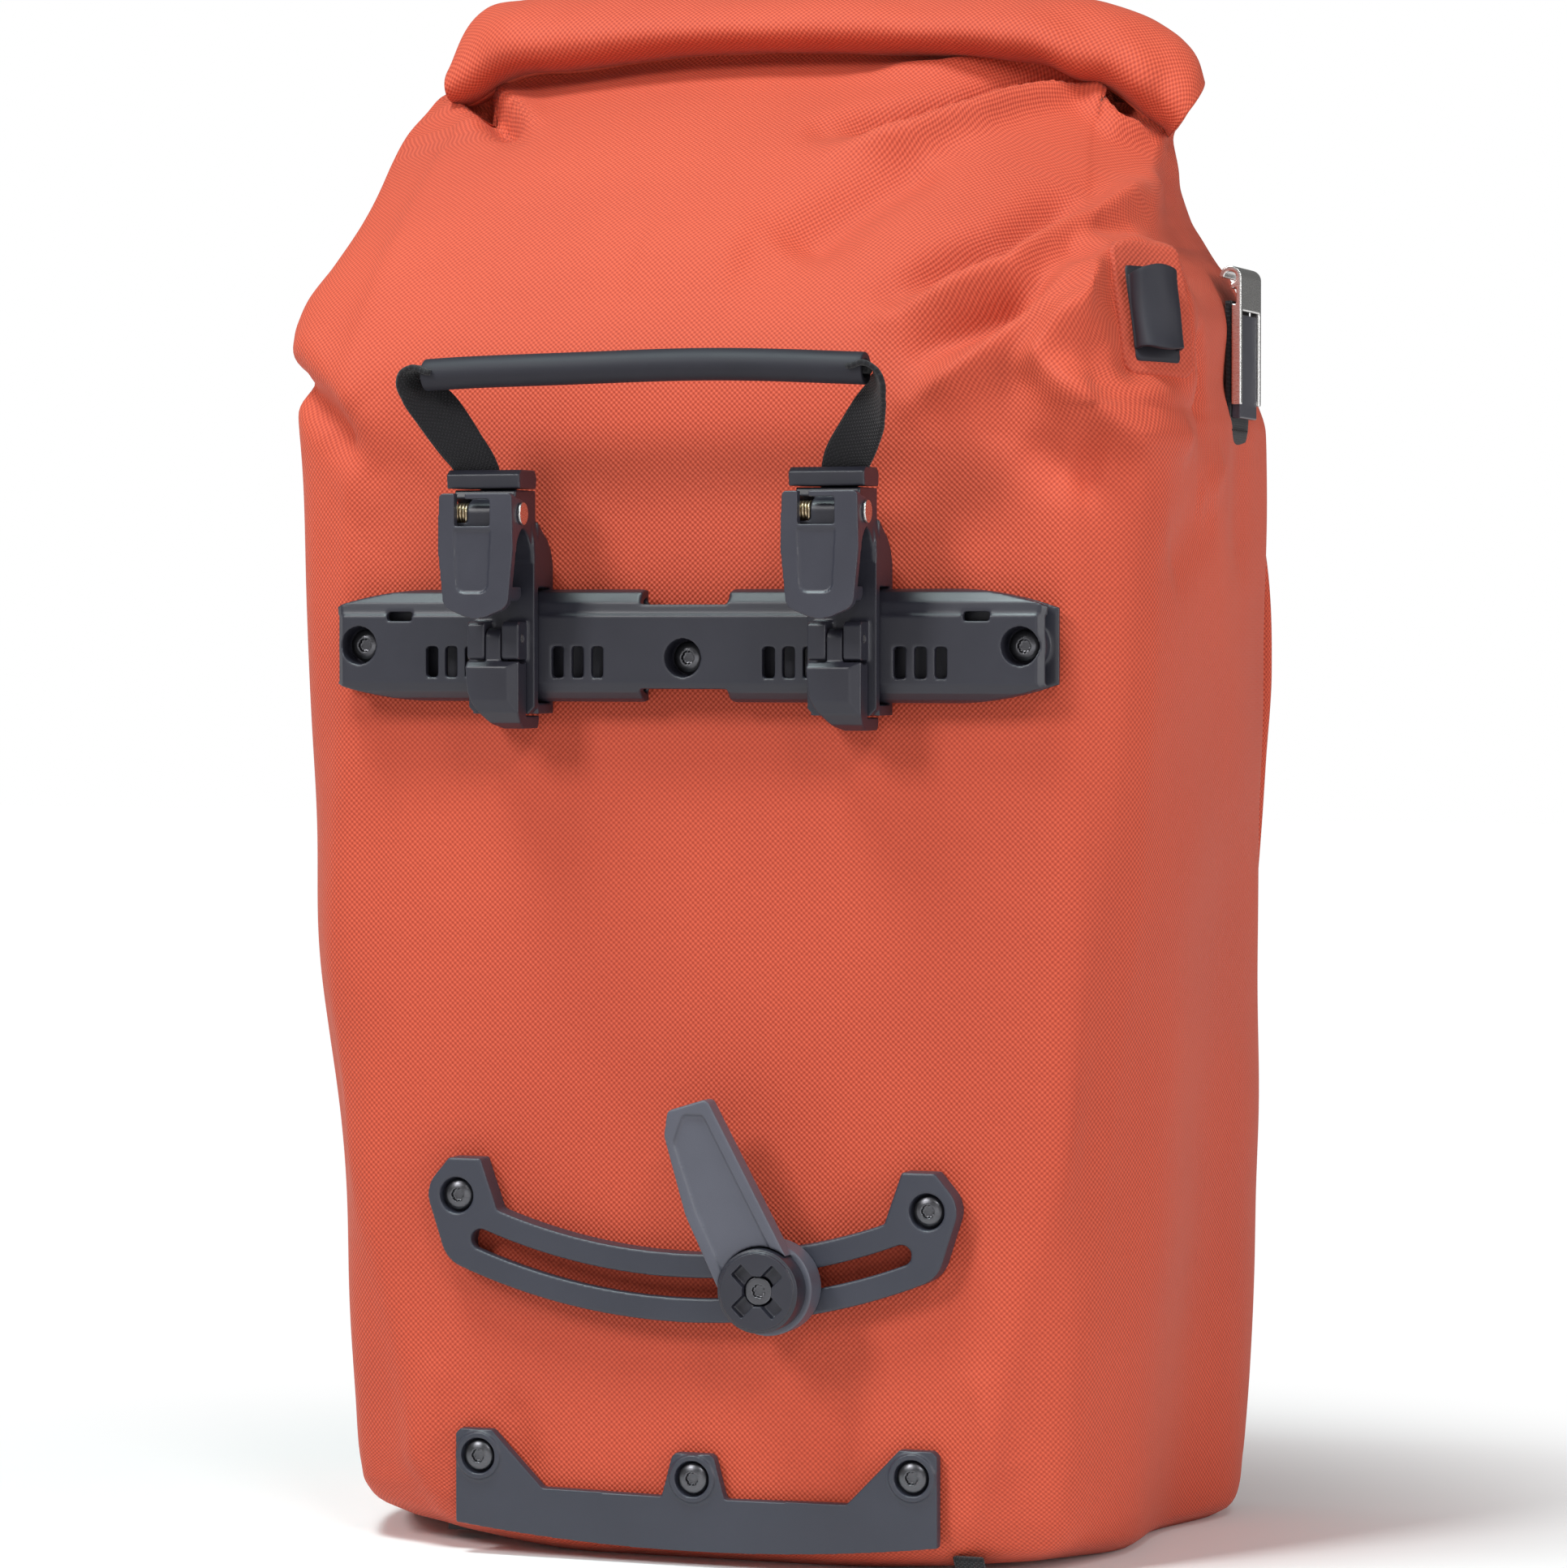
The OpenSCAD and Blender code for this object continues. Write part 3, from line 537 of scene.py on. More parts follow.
def sack_outline(z, per_segment):
    """One closed outline of the sack, as an array of (x, y) in millimetres, from the middle of the back."""
    height, *columns = zip(*SACK)
    crease, corner, widest, front, back, outer = (cubic(height, column, z) for column in columns)
    s = min(1.0, (outer - back) / 150)
    half = [
        (0, back), (crease * 0.5, back), (crease - 9, back), (crease, back + 0.5 * s),
        (crease + 6 * s, back + 3.6 * s), (corner - 5.5 * s, back + 11 * s), (corner, back + 22 * s),
        (widest, back + 52 * s), (widest, back + 92 * s), (front + 2.6 * s, back + 128 * s),
        (front, outer - 18 * s), (front - 8 * s, outer - 5.5 * s), (front - 27 * s, outer - 0.5 * s),
        (front * 0.45, outer + 1.5 * s), (0, outer + 2 * s),
    ]
    loop = np.array(half + [(-x, y) for x, y in half[-2:0:-1]])
    count = len(loop)
    rows = []
    for i in range(count):
        a, b, c, d = (loop[(i + k) % count] for k in (-1, 0, 1, 2))
        steps = per_segment[i % len(per_segment)]
        t = (np.arange(steps) / steps)[:, None]
        length = max(np.linalg.norm(c - b), 1e-6)
        before = (c - a) * length / (length + max(np.linalg.norm(b - a), 1e-6))
        after = (d - b) * length / (length + max(np.linalg.norm(d - c), 1e-6))
        rows.append(hermite(b, c, before, after, t))
    return lopsided(np.concatenate(rows), z)


def distance_to_path(points, path):
    """Distance of each point from a polyline, and how far along it (0 to 1) the nearest point lies."""
    path = np.asarray(path, float)
    lengths = np.linalg.norm(np.diff(path, axis=0), axis=1)
    total, run = lengths.sum(), 0.0
    best = np.full(len(points), 1e9)
    place = np.zeros(len(points))
    for a, b, length in zip(path[:-1], path[1:], lengths):
        t = np.clip(((points - a) @ (b - a)) / length ** 2, 0, 1)
        d = np.linalg.norm(points - (a + t[:, None] * (b - a)), axis=1)
        near = d < best
        best[near] = d[near]
        place[near] = ((run + t * length) / total)[near]
        run += length
    return best, place


# Folds in the cloth: route in millimetres, half-widths and heights at its two ends.
# The height of a valley is negative.
FOLDS = [
    # under the right half of the roll
    ([(21, 92, 444), (45, 95, 445), (66, 106, 448), (84, 108, 443)], (6, 4), (3.5, 4)),
    ([(19, 64, 426), (37, 71, 430), (57, 80, 435), (86, 106, 441)], (6.8, 4.7), (-8, -11.5)),
    ([(26, 54, 417), (47, 59, 421), (64, 71, 428), (89, 105, 438)], (5.5, 4.2), (6.9, 9.2)),
    ([(18, 21, 386), (42, 41, 406), (58, 54, 416)], (12.8, 9.3), (-9.2, -5.8)),
    # long crests from the handle up to the right corner
    ([(58, 12, 372), (87, 28, 389), (103, 55, 403)], (7.6, 7.6), (-7.5, -5.8)),
    ([(57, 8, 365), (91, 17, 378), (110, 52, 396), (116, 79, 407)], (6, 6), (9.8, 8)),
    ([(60, 2, 352), (79, 5, 360), (100, 11, 370)], (6, 6.4), (-1.6, -9.2)),
    ([(66, 0, 340), (90, 3, 355), (104, 10, 367), (114, 28, 380)], (5.1, 5.1), (6.3, 8)),
    # the pointed crest below the side loop
    ([(104, 2, 352), (113, 9, 364), (118, 31, 380), (120, 50, 389)], (5.1, 4.7), (12.1, 5.8)),
    ([(104, 2, 352), (115, 2, 341), (130, 10, 330), (139, 40, 330)], (5.5, 6), (10.9, 4.6)),
    ([(100, 1, 350), (95, 0, 341), (90, 0, 326)], (5, 7), (-1.6, -1)),
    ([(98, 0, 329), (110, 0, 322), (123, 6, 320)], (6, 8.5), (-1.5, -6.9)),
    ([(140, 44, 363), (139, 51, 350), (139, 50, 335)], (6, 5), (-3.5, -3)),
    ([(139, 52, 311), (139, 78, 323)], (8, 7), (3, 2)),
    ([(136, 25, 292), (139, 68, 315)], (11, 11), (-3, -3)),
    # pucker under the right end of the roll
    ([(90, 105, 438), (93, 96, 431), (101, 90, 424), (110, 97, 422)], (3.4, 3.8), (8, 5.8)),
    ([(95, 110, 440), (99, 106, 434), (102, 106, 432)], (4.2, 4.2), (-14.9, -11.5)),
    # under the left end of the roll
    ([(-117, 109, 445), (-110, 103, 442), (-97, 86, 435), (-83, 68, 425)], (5.5, 5.1), (-17.2, -6.9)),
    ([(-110, 108, 446), (-99, 95, 440), (-88, 83, 434), (-78, 70, 427)], (4.2, 5.1), (8, 2.9)),
    ([(-119, 104, 441), (-110, 96, 438), (-97, 79, 431)], (6, 7.6), (5.8, 3.4)),
    # the notch and bulge at the left corner
    ([(-142, 46, 352), (-133, 14, 349), (-119, 3, 338), (-104, 0, 322)], (5.1, 6), (-9.2, -5.2)),
    ([(-136, 20, 366), (-122, 8, 354), (-106, 2, 338)], (8, 8), (2, 3)),
    ([(-113, 0, 300), (-87, 0, 327)], (12, 12), (-1.6, -1.6)),
    ([(-30, 24, 388), (10, 22, 386)], (16, 18), (2.5, 2)),
    # the closure straps draw the sides in
    ([(-138, 102, 388), (-138, 102, 338), (-138, 102, 284)], (15, 15), (-1.2, -1.2)),
    ([(138, 102, 388), (138, 102, 338), (138, 102, 284)], (15, 15), (-2.6, -2.6)),
    # soft pulls between the plate, the base and the corners
    ([(-60, 0, 48), (-52, 0, 22)], (5, 7), (-1.6, -1.6)),
    ([(46, 0, 50), (40, 0, 24)], (5, 7), (-1.6, -1.6)),
    ([(-80, 0, 60), (-92, 3, 20)], (6, 8), (1.6, 2)),
    ([(84, 0, 64), (94, 2, 26)], (6, 8), (1.6, 1.8)),
    ([(-104, 0, 236), (-112, 1, 170), (-112, 3, 110)], (9, 9), (-1.4, -1.4)),
]


# Dents and facets in the rolled top: route, half-width, height.
ROLL_FOLDS = [
    ([(78, 90, 470), (90, 88, 456), (96, 90, 444)], 7, -1.3),
    ([(98, 92, 466), (108, 88, 452), (110, 90, 440)], 5, 1.3),
    ([(112, 92, 458), (118, 90, 446), (114, 92, 432)], 4, -1.1),
    ([(-112, 92, 470), (-106, 88, 455)], 6, -1.1),
    ([(-96, 92, 470), (-90, 88, 456)], 7, 0.9),
    ([(-60, 90, 456), (0, 89, 456), (60, 90, 453)], 4, -0.8),
    ([(30, 92, 470), (44, 88, 460)], 7, -0.7),
]


def fold_cloth(points, normals):
    """Moves points along their normals by every fold's rounded ridge or valley."""
    moved = points.copy()
    for route, widths, heights in FOLDS:
        d, place = distance_to_path(points, route)
        ends = smooth_step(place / 0.2) * smooth_step((1 - place) / 0.2)
        width = widths[0] + (widths[1] - widths[0]) * place
        height = (heights[0] + (heights[1] - heights[0]) * place) * (0.35 + 0.65 * ends)
        sharpness = np.where(height > 0, 1.6, 2.0)
        moved += normals * (height * np.exp(-((d / width) ** sharpness)))[:, None]
    return moved


# Frame of the welded patch at the back corner: its middle, and the ways across, up and out.
PATCH_MIDDLE = np.array([134, 23.5, 369])
PATCH_OUT = unit([0.66, -0.71, 0.24])
PATCH_ACROSS = unit(np.cross([-0.02, 0.05, 1], PATCH_OUT))
PATCH_UP = np.cross(PATCH_OUT, PATCH_ACROSS)


def flatten_patch(points):
    """The stiff welded patch keeps the cloth under it nearly flat."""
    rel = points - PATCH_MIDDLE
    across, up, out = rel @ PATCH_ACROSS, rel @ PATCH_UP, rel @ PATCH_OUT
    beyond = np.hypot(np.maximum(np.abs(across) - 10, 0), np.maximum(np.abs(up) - 18, 0))
    hold = (1 - smooth_step(beyond / 11)) * (np.abs(out) < 22)
    level = (out * hold).sum() / hold.sum()
    return points + PATCH_OUT * (0.85 * hold * (level - out))[:, None]


def dent(points, route, width, height):
    """How far each point moves for one smooth ridge or dent along a route."""
    d, _ = distance_to_path(points, route)
    return height * np.exp(-((d / width) ** 2))


def ripple(points, seed, waves, wavelength, amplitude):
    """Gentle unevenness: a sum of plane waves with fixed directions."""
    rng = np.random.default_rng(seed)
    total = np.zeros(len(points))
    for _ in range(waves):
        direction = unit(rng.normal(size=3))
        k = math.tau / (wavelength * rng.uniform(0.7, 1.5))
        total += np.sin(points @ direction * k + rng.uniform(0, math.tau))
    return total * amplitude / math.sqrt(waves)


def point_normals(grid):
    """Outward normals of a closed-loop grid of points (rows, columns, 3)."""
    along = np.gradient(grid, axis=0)
    around = (np.roll(grid, -1, axis=1) - np.roll(grid, 1, axis=1)) / 2
    return units(np.cross(around, along))


def sack_grid():
    """The filled sack before its folds, as rows of points from the ground up."""
    half = [28, 26, 9, 7, 9, 11, 22, 20, 16, 10, 8, 8, 12, 14]
    steps = half + half[::-1]
    heights = [np.linspace(0, 18, 13)[:-1], np.linspace(18, 330, 105)[:-1], np.linspace(330, 456, 85)]
    grid = []
    for z in np.concatenate(heights):
        outline = sack_outline(z, steps)
        grid.append(np.column_stack([outline, np.full(len(outline), z)]))
    grid = np.array(grid)
    high = smooth_step((grid[..., 2] - 352) / 96)
    grid[..., 2] -= droop(grid[..., 0]) * high
    most = np.where(grid[..., 0] < 0, 9.5, 4.5)
    corner_lift = most * smooth_step((np.abs(grid[..., 0]) - 35) / 75) * np.clip(1 - grid[..., 1] / 70, 0, 1)
    grid[..., 2] += corner_lift * smooth_step(1 - grid[..., 2] / 34)
    return grid


def add_sack():
    """The sack: ripples and folds on the filled shape, then a closed base."""
    grid = sack_grid()
    rows, columns = grid.shape[:2]
    normals = point_normals(grid).reshape(-1, 3)
    points = grid.reshape(-1, 3)
    soft = smooth_step((np.abs(points[:, 0]) - 70) / 45) + smooth_step((points[:, 2] - 350) / 40)
    soft = np.clip(soft + smooth_step(points[:, 1] / 30), 0.12, 1) * smooth_step(points[:, 2] / 25)
    waves = ripple(points, 5, 7, 130, 1.1) + ripple(points, 9, 6, 55, 0.35)
    points = points + normals * (soft * waves)[:, None]
    points = flatten_patch(fold_cloth(points, normals))
    folded = points.reshape(rows, columns, 3)
    step = np.linalg.norm(np.diff(folded, axis=1, append=folded[:, :1]), axis=2)
    across = np.concatenate([np.zeros((rows, 1)), np.cumsum(step, axis=1)[:, :-1]], axis=1)
    total = step.sum(axis=1, keepdims=True)
    across[:, columns // 2:] -= total
    along = lengths_along(folded[:, 0])[:, None] * np.ones((1, columns))
    cloth = np.stack([across, along], axis=2).reshape(-1, 2)
    faces = grid_faces(rows, columns, wrap=True)
    base, centre = points[:columns], points[:columns].mean(axis=0)
    start, first = 0, len(points)
    for share in (0.75, 0.5, 0.25):
        ring = centre + (base - centre) * share
        ring[:, 2] = BASE_LIFT
        faces += [(first + c, first + (c + 1) % columns, start + (c + 1) % columns, start + c)
                  for c in range(columns)]
        points, cloth = np.vstack([points, ring]), np.vstack([cloth, ring[:, :2]])
        start, first = first, first + columns
    faces += [(first, start + (c + 1) % columns, start + c) for c in range(columns)]
    centre[2] = BASE_LIFT
    points, cloth = np.vstack([points, centre]), np.vstack([cloth, centre[:2]])
    sack = add_mesh("sack_cloth", placed(points), faces, "cloth", "bag", cloth,
                    ("back_panel", "front_panel", "base_panel", "side_panel_left", "side_panel_right"))
    carry_across_seam(sack.data, rows, columns, total)
    return sack


def carry_across_seam(mesh, rows, columns, total):
    """Takes the weave coordinates straight over the line on the outer wall where they would jump back."""
    place = np.zeros(len(mesh.loops) * 2, np.float32)
    layer = mesh.uv_layers["cloth"].data
    layer.foreach_get("uv", place)
    place = place.reshape(-1, 2)
    for face in mesh.polygons:
        loops = np.arange(face.loop_start, face.loop_start + face.loop_total)
        row = min(min(face.vertices) // columns, rows - 1)
        if np.ptp(place[loops, 0]) > 100 and max(face.vertices) < rows * columns:
            place[loops[place[loops, 0] < 0], 0] += total[row, 0]
    layer.foreach_set("uv", place.ravel())


ROLL_Y, ROLL_DEPTH, ROLL_TURNS = 105.0, 17.0, 2.6

# Edges of the rolled top as seen from the bike side, from left to right: upper (x, z), lower (x, z).
ROLL = [
    (-116.2, 456.9, -116.2, 440.0), (-115.8, 461.5, -112.8, 440.4), (-113.5, 466.4, -108.5, 442.2),
    (-108.4, 470.6, -103, 445.6), (-97, 472.4, -94, 448.8), (-80, 472.8, -78, 449.8),
    (-27.6, 472.4, -25, 452.4), (25.5, 471.2, 28, 449.9), (64.6, 469, 64, 447.9), (80, 467, 77, 445.8),
    (93, 465, 87, 441.2),
    (104, 462, 98, 438.6), (113, 457.8, 107, 433.6), (120.5, 452.5, 113.5, 428.6), (125, 446.5, 118.5, 425),
    (126.8, 440.6, 120, 423.2),
]


def roll_stations(count):
    """Middle of the roll, half its height (as a vector) and how near each station is to either end."""
    line = spline(ROLL, count)
    top, low = line[:, :2], line[:, 2:]
    middle = np.column_stack([(top + low)[:, 0] / 2, np.full(count, ROLL_Y), (top + low)[:, 1] / 2])
    half = np.column_stack([(top - low)[:, 0] / 2, np.zeros(count), (top - low)[:, 1] / 2])
    left = smooth_step((-middle[:, 0] - 92) / 24)
    right = smooth_step((middle[:, 0] - 78) / 46)
    return middle, half, left, right


def add_roll():
    """The rolled top: a spiral of doubled cloth between the roll's two edges, its ends cut slanting."""
    middle, half, left, right = roll_stations(261)
    turn = np.linspace(0, ROLL_TURNS, 210)
    theta = np.radians(-84) + turn * math.tau
    shrink = cubic([0, 0.22, 0.8, 1.05, ROLL_TURNS], [0.93, 1.0, 0.985, 0.87, 0.58], turn)
    depth = ROLL_DEPTH * (1 - 0.22 * left - 0.3 * right)
    y = depth[:, None] * shrink * np.cos(theta)
    grid = middle[:, None, :] + half[:, None, :] * (shrink * np.sin(theta))[None, :, None]
    lean = 8 * shrink * np.sin(theta) * (0.5 - 0.5 * np.cos(theta))
    grid[..., 1] += y + lean + 2.5 * np.maximum(np.cos(theta), 0)
    grid[..., 0] -= 0.5 * right[:, None] * (y + 9)
    shape = grid.shape
    flat = grid.reshape(-1, 3)
    outward = units((grid - middle[:, None, :]).reshape(-1, 3))
    wave = ripple(flat, 21, 6, 60, 0.8) + ripple(flat, 22, 6, 24, 0.25)
    for fold in ROLL_FOLDS:
        wave += dent(flat, *fold)
    outer = 1 - smooth_step((np.tile(turn, shape[0]) - 0.85) / 0.3)
    flat = flat + outward * (wave * (0.3 + 0.7 * outer))[:, None]
    around, along = lengths_along(grid[120]), lengths_along(middle)
    sheet = new_mesh("roll", placed(flat), grid_faces(*shape[:2]))
    set_cloth(sheet, np.stack(np.broadcast_arrays(along[:, None], around[None, :]), axis=2).reshape(-1, 2))
    mesh = modified(sheet, ("SOLIDIFY", {"thickness": 1.3 * MM, "offset": 0.0, "use_even_offset": True}))
    return add_piece("rolled_top", mesh, "cloth", "bag", ("roll_closure",))


def add_roll_strip():
    """The flat plastic strip in the core of the roll, bent with it."""
    middle, half, _, _ = roll_stations(121)
    middle, half = middle[8:-14], half[8:-14]
    outline = [(-7, -0.9), (7, -0.9), (7.4, -0.5), (7.4, 0.5), (7, 0.9), (-7, 0.9), (-7.4, 0.5), (-7.4, -0.5)]
    frames = np.stack([np.tile([0, 1.0, 0], (len(middle), 1)), units(half)], axis=1)
    points, faces = sweep(middle, frames, outline)
    add_mesh("roll_strip", placed(points), faces, "board", "bag", None, ("roll_stiffener",))


# ---- handle


def sweep(path, frames, outline, closed_ends=True):
    """Points and faces of an outline (n, 2) swept along a path (m, 3) with its side and up vectors."""
    n = len(outline)
    points = [p + o[0] * f[0] + o[1] * f[1] for p, f in zip(path, frames) for o in outline]
    faces = grid_faces(len(path), n, wrap=True)
    if closed_ends:
        faces.append(tuple(range(n - 1, -1, -1)))
        faces.append(tuple((len(path) - 1) * n + k for k in range(n)))
    return np.array(points), faces


def spline(points, count):
    """Smooth curve through points, evenly sampled."""
    points = np.asarray(points, float)
    knots = lengths_along(points)
    fine = np.linspace(0, knots[-1], count)
    tangents = np.gradient(points, knots, axis=0)
    i = np.clip(np.searchsorted(knots, fine, side="right") - 1, 0, len(knots) - 2)
    h = (knots[i + 1] - knots[i])[:, None]
    t = ((fine - knots[i]) / h[:, 0])[:, None]
    return hermite(points[i], points[i + 1], tangents[i] * h, tangents[i + 1] * h, t)


def strap(name, route, widths_to, width, thickness, look, body, replaces=(), count=60):
    """Flat webbing along a route; widths_to gives the direction of its width at each route point."""
    path = spline(route, count)
    knots = lengths_along(route)
    where = np.linspace(0, knots[-1], count)
    across = np.column_stack([np.interp(where, knots, column) for column in np.array(widths_to, float).T])
    tangent = units(np.gradient(path, axis=0))
    across = units(across - (across * tangent).sum(axis=1, keepdims=True) * tangent)
    up = np.cross(tangent, across)
    w, h = width / 2, thickness / 2
    edge = [(math.cos(a) * h * 0.9, math.sin(a) * h) for a in np.radians([-90, -45, 0, 45, 90])]
    line = np.linspace(-1, 1, 13)[1:-1]
    outline = [(w - h + x, y) for x, y in edge] + [(-(w - h) * u, h) for u in line] \
        + [(-(w - h) - x, -y) for x, y in edge] + [((w - h) * u, -h) for u in line]
    points, faces = sweep(path, np.stack([across, up], axis=1), outline)
    cloth = [(o[0], run) for run in lengths_along(path) for o in outline]
    return add_mesh(name, placed(points), faces, look, body, cloth, replaces)


HOOKS_X, HOOK_APART = -2.5, 52.5
GRIP_Y, GRIP_Z, GRIP_HALF = -38.0, 350.0, 67.0
GRIP_ROUND, GRIP_BORE = (4.9, 4.65), (3.5, 2.6)

# Each leg of the webbing from the grip's end down to its cap, and the way its width points.
HANDLE_LEGS = {
    "left": [(-66, -38, 349.2), (-70.6, -38, 350.2), (-72.8, -37.6, 349.4), (-73.6, -37, 347.2),
             (-72.2, -35.8, 343.8), (-67.6, -33.5, 337.6), (-62.6, -29.6, 329), (-59.2, -26, 322.5),
             (-58, -24.2, 317.5)],
    "right": [(60.6, -38, 349), (64.8, -38, 349.4), (66.8, -37.6, 348.2), (67.8, -37, 345.6),
              (66.8, -35.4, 341.6), (63.6, -32.6, 335.8), (59, -29, 329), (54.6, -25.8, 322.5),
              (53.1, -24.2, 317.5)],
}
LEG_TURN = [(0.33, 0.945, 0), (0.33, 0.945, 0), (0.36, 0.93, 0.1), (0.45, 0.88, 0.15), (0.62, 0.76, 0.2),
            (0.86, 0.45, 0.2), (0.97, 0.2, 0.1), (1, 0, 0.05), (1, 0, 0)]


def add_handle():
    """The rubber grip on its webbing, whose two legs bend between the handle and the hook caps."""
    xs = np.linspace(-GRIP_HALF, GRIP_HALF, 60)
    rise = -xs ** 2 / 2600 + 0.35 * np.sin(xs / 19) * (1 - (xs / GRIP_HALF) ** 2)
    path = np.column_stack([xs + HOOKS_X, np.full(60, GRIP_Y), GRIP_Z + rise])
    frames = np.tile(np.array([[0, 1.0, 0], [0, 0, 1.0]]), (60, 1, 1))
    angles = np.linspace(0, math.tau, 40, endpoint=False)
    ring = [(GRIP_ROUND[0] * math.cos(a), GRIP_ROUND[1] * math.sin(a)) for a in angles]
    bore = [(GRIP_BORE[0] * x / GRIP_ROUND[0], GRIP_BORE[1] * y / GRIP_ROUND[1]) for x, y in ring]
    outer, faces = sweep(path, frames, ring, closed_ends=False)
    inner, _ = sweep(path, frames, bore, closed_ends=False)
    n, count = len(ring), len(outer)
    faces += [tuple(count + i for i in reversed(f)) for f in grid_faces(len(path), n, wrap=True)]
    last = (len(path) - 1) * n
    for k in range(n):
        j = (k + 1) % n
        faces.append((j, k, count + k, count + j))
        faces.append((last + k, last + j, count + last + j, count + last + k))
    mesh = new_mesh("grip", placed(np.concatenate([outer, inner])), faces)
    mesh = modified(mesh, ("BEVEL", {"width": 0.5 * MM, "segments": 3, "limit_method": "ANGLE"}))
    add_piece("grip_sleeve", mesh, "rubber", "handle", ("handle_grip",))
    ends = (-GRIP_HALF - 1, 1.6), (0, 0), (GRIP_HALF + 1, 1.6)
    core = [(x + HOOKS_X, GRIP_Y, GRIP_Z - drop) for x, drop in ends]
    strap("webbing_core", core, [(0, 1, 0)] * 3, 6.4, 3.2, "web", "handle", ("handle_webbing",))
    for name, side in SIDES.items():
        turn = [(x, -side * y, -side * z) for x, y, z in LEG_TURN]
        leg = strap("webbing_leg_" + name, HANDLE_LEGS[name], turn, 14, 1.6, "web", None, (), 90)
        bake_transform(leg)
        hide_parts("handle_webbing")


# ---- things lying on the cloth


def cloth_tree(piece):
    """A piece's faces, ready to be hit by rays."""
    mesh = piece.data
    points = [v.co.copy() for v in mesh.vertices]
    return BVHTree.FromPolygons(points, [tuple(p.vertices) for p in mesh.polygons])


def rounded_place(u, v, half, corner):
    """A point of the square (-1..1) in a rectangle with round corners, and its depth inside the edge."""
    x, y = u * half[0], v * half[1]
    inner = (half[0] - corner, half[1] - corner)
    a, b = (abs(x) - inner[0]) / corner, (abs(y) - inner[1]) / corner
    if a > 0 and b > 0:
        x = math.copysign(inner[0] + corner * a * math.sqrt(1 - b * b / 2), x)
        y = math.copysign(inner[1] + corner * b * math.sqrt(1 - a * a / 2), y)
        a, b = (abs(x) - inner[0]) / corner, (abs(y) - inner[1]) / corner
    outside = math.hypot(max(a, 0), max(b, 0)) + min(max(a, b), 0)
    return x, y, corner * (1 - outside)


def draped(name, tree, centre, axes, half, corner, height, edge, look, replaces=(), count=45):
    """A sheet with round corners lying on the cloth, its rim pressed into it."""
    across, up, out = axes
    points, cloth = [], []
    for v in np.linspace(-1, 1, count):
        for u in np.linspace(-1, 1, count):
            x, y, depth = rounded_place(u, v, half, corner)
            start = centre + (across * x + up * y + out * 25) * MM
            found, _, _, _ = tree.ray_cast(start, -out, 60 * MM)
            lift = (height + 0.45) * float(smooth_step(depth / edge)) - 0.45
            points.append((found or start - out * 25 * MM) + out * lift * MM)
            cloth.append((x, y))
    return add_mesh(name, points, grid_faces(count, count), look, "bag", cloth, replaces)


def add_side_loop(tree):
    """Welded patch at the back corner with a rubber tunnel on it."""
    across, up, out = (Vector(v) for v in (PATCH_ACROSS, PATCH_UP, PATCH_OUT))
    axes = (across, up, out)
    draped("welded_patch", tree, at(*PATCH_MIDDLE), axes, (12.5, 21), 5, 1.1, 1.0, "welded", ("side_patch",))
    middle = at(134.8, 21.6, 367.3)
    draped("loop_base", tree, middle, axes, (7.8, 15.4), 2.0, 1.6, 0.6, "rubber", (), 31)
    middle, _, _, _ = tree.ray_cast(middle + out * 25 * MM, -out, 60 * MM)
    profile = spline([(-7.4, 1.2), (-6.8, 1.7), (-6.6, 4), (-5.4, 6), (-2.2, 7), (2.2, 6.9), (5.4, 5.7),
                      (6.5, 3.6), (6.9, 1.6), (7.5, 1.2)], 46)
    rows = np.linspace(-12.6, 12.8, 22)
    points, cloth = [], []
    for r in rows:
        flare = 1 + 0.10 * (abs(r) / 12.5) ** 3
        for a, o in profile:
            high = o * flare + 0.25 * math.sin(r / 4 + a / 3)
            bow = r + 0.03 * a * a * (1 if r < 0 else -1) * abs(r) / 12
            points.append(middle + (across * a + up * bow + out * high) * MM)
            cloth.append((a, r))
    mesh = new_mesh("loop", points, grid_faces(len(rows), len(profile)))
    mesh = modified(mesh, ("SOLIDIFY", {"thickness": 1.3 * MM, "offset": 0.0}),
                    ("BEVEL", {"width": 0.25 * MM, "segments": 2, "limit_method": "ANGLE"}))
    add_piece("rubber_tunnel", mesh, "rubber", "bag", ("side_loop",))


# ---- pocket with its zip

POCKET = {"left": -115.0, "right": 120.0, "low": 172.0, "high": 332.0, "corner": 16.0}
ZIP_X, ZIP_Y = 120.2, 171.2

# Section of the pocket from its root to its face: how far it is pulled in, and its depth.
POCKET_STEPS = [
    (0, 166), (0, 170), (0.3, 173.5), (-0.6, 175.6), (-1.3, 176.8), (-1.2, 178.2), (0, 179.2), (1.6, 179.0),
    (2.6, 178.2), (3.8, 178.4), (6, 179.1), (9, 180), (14, 181), (20, 181.9), (28, 182.6), (38, 183.2),
    (50, 183.6), (62, 183.9), (72, 184),
]

# Soft ridges and dents that run in from the pocket's corners: route, half-width, height.
POCKET_FOLDS = [
    ([(-108, 180, 182), (-70, 182, 214)], 7, 1.6),
    ([(120, 180, 182), (88, 182, 210)], 7, 1.6),
    ([(-108, 180, 322), (-60, 182, 296)], 8, -1.5),
    ([(118, 180, 320), (82, 182, 290)], 8, -1.4),
]

# How far the storm flap stands out over the zip at each height.
FLAP = [(172, -2), (185, 1.6), (202, 3.2), (232, 5.4), (261, 7), (298, 5), (311, 1.8), (332, -3)]


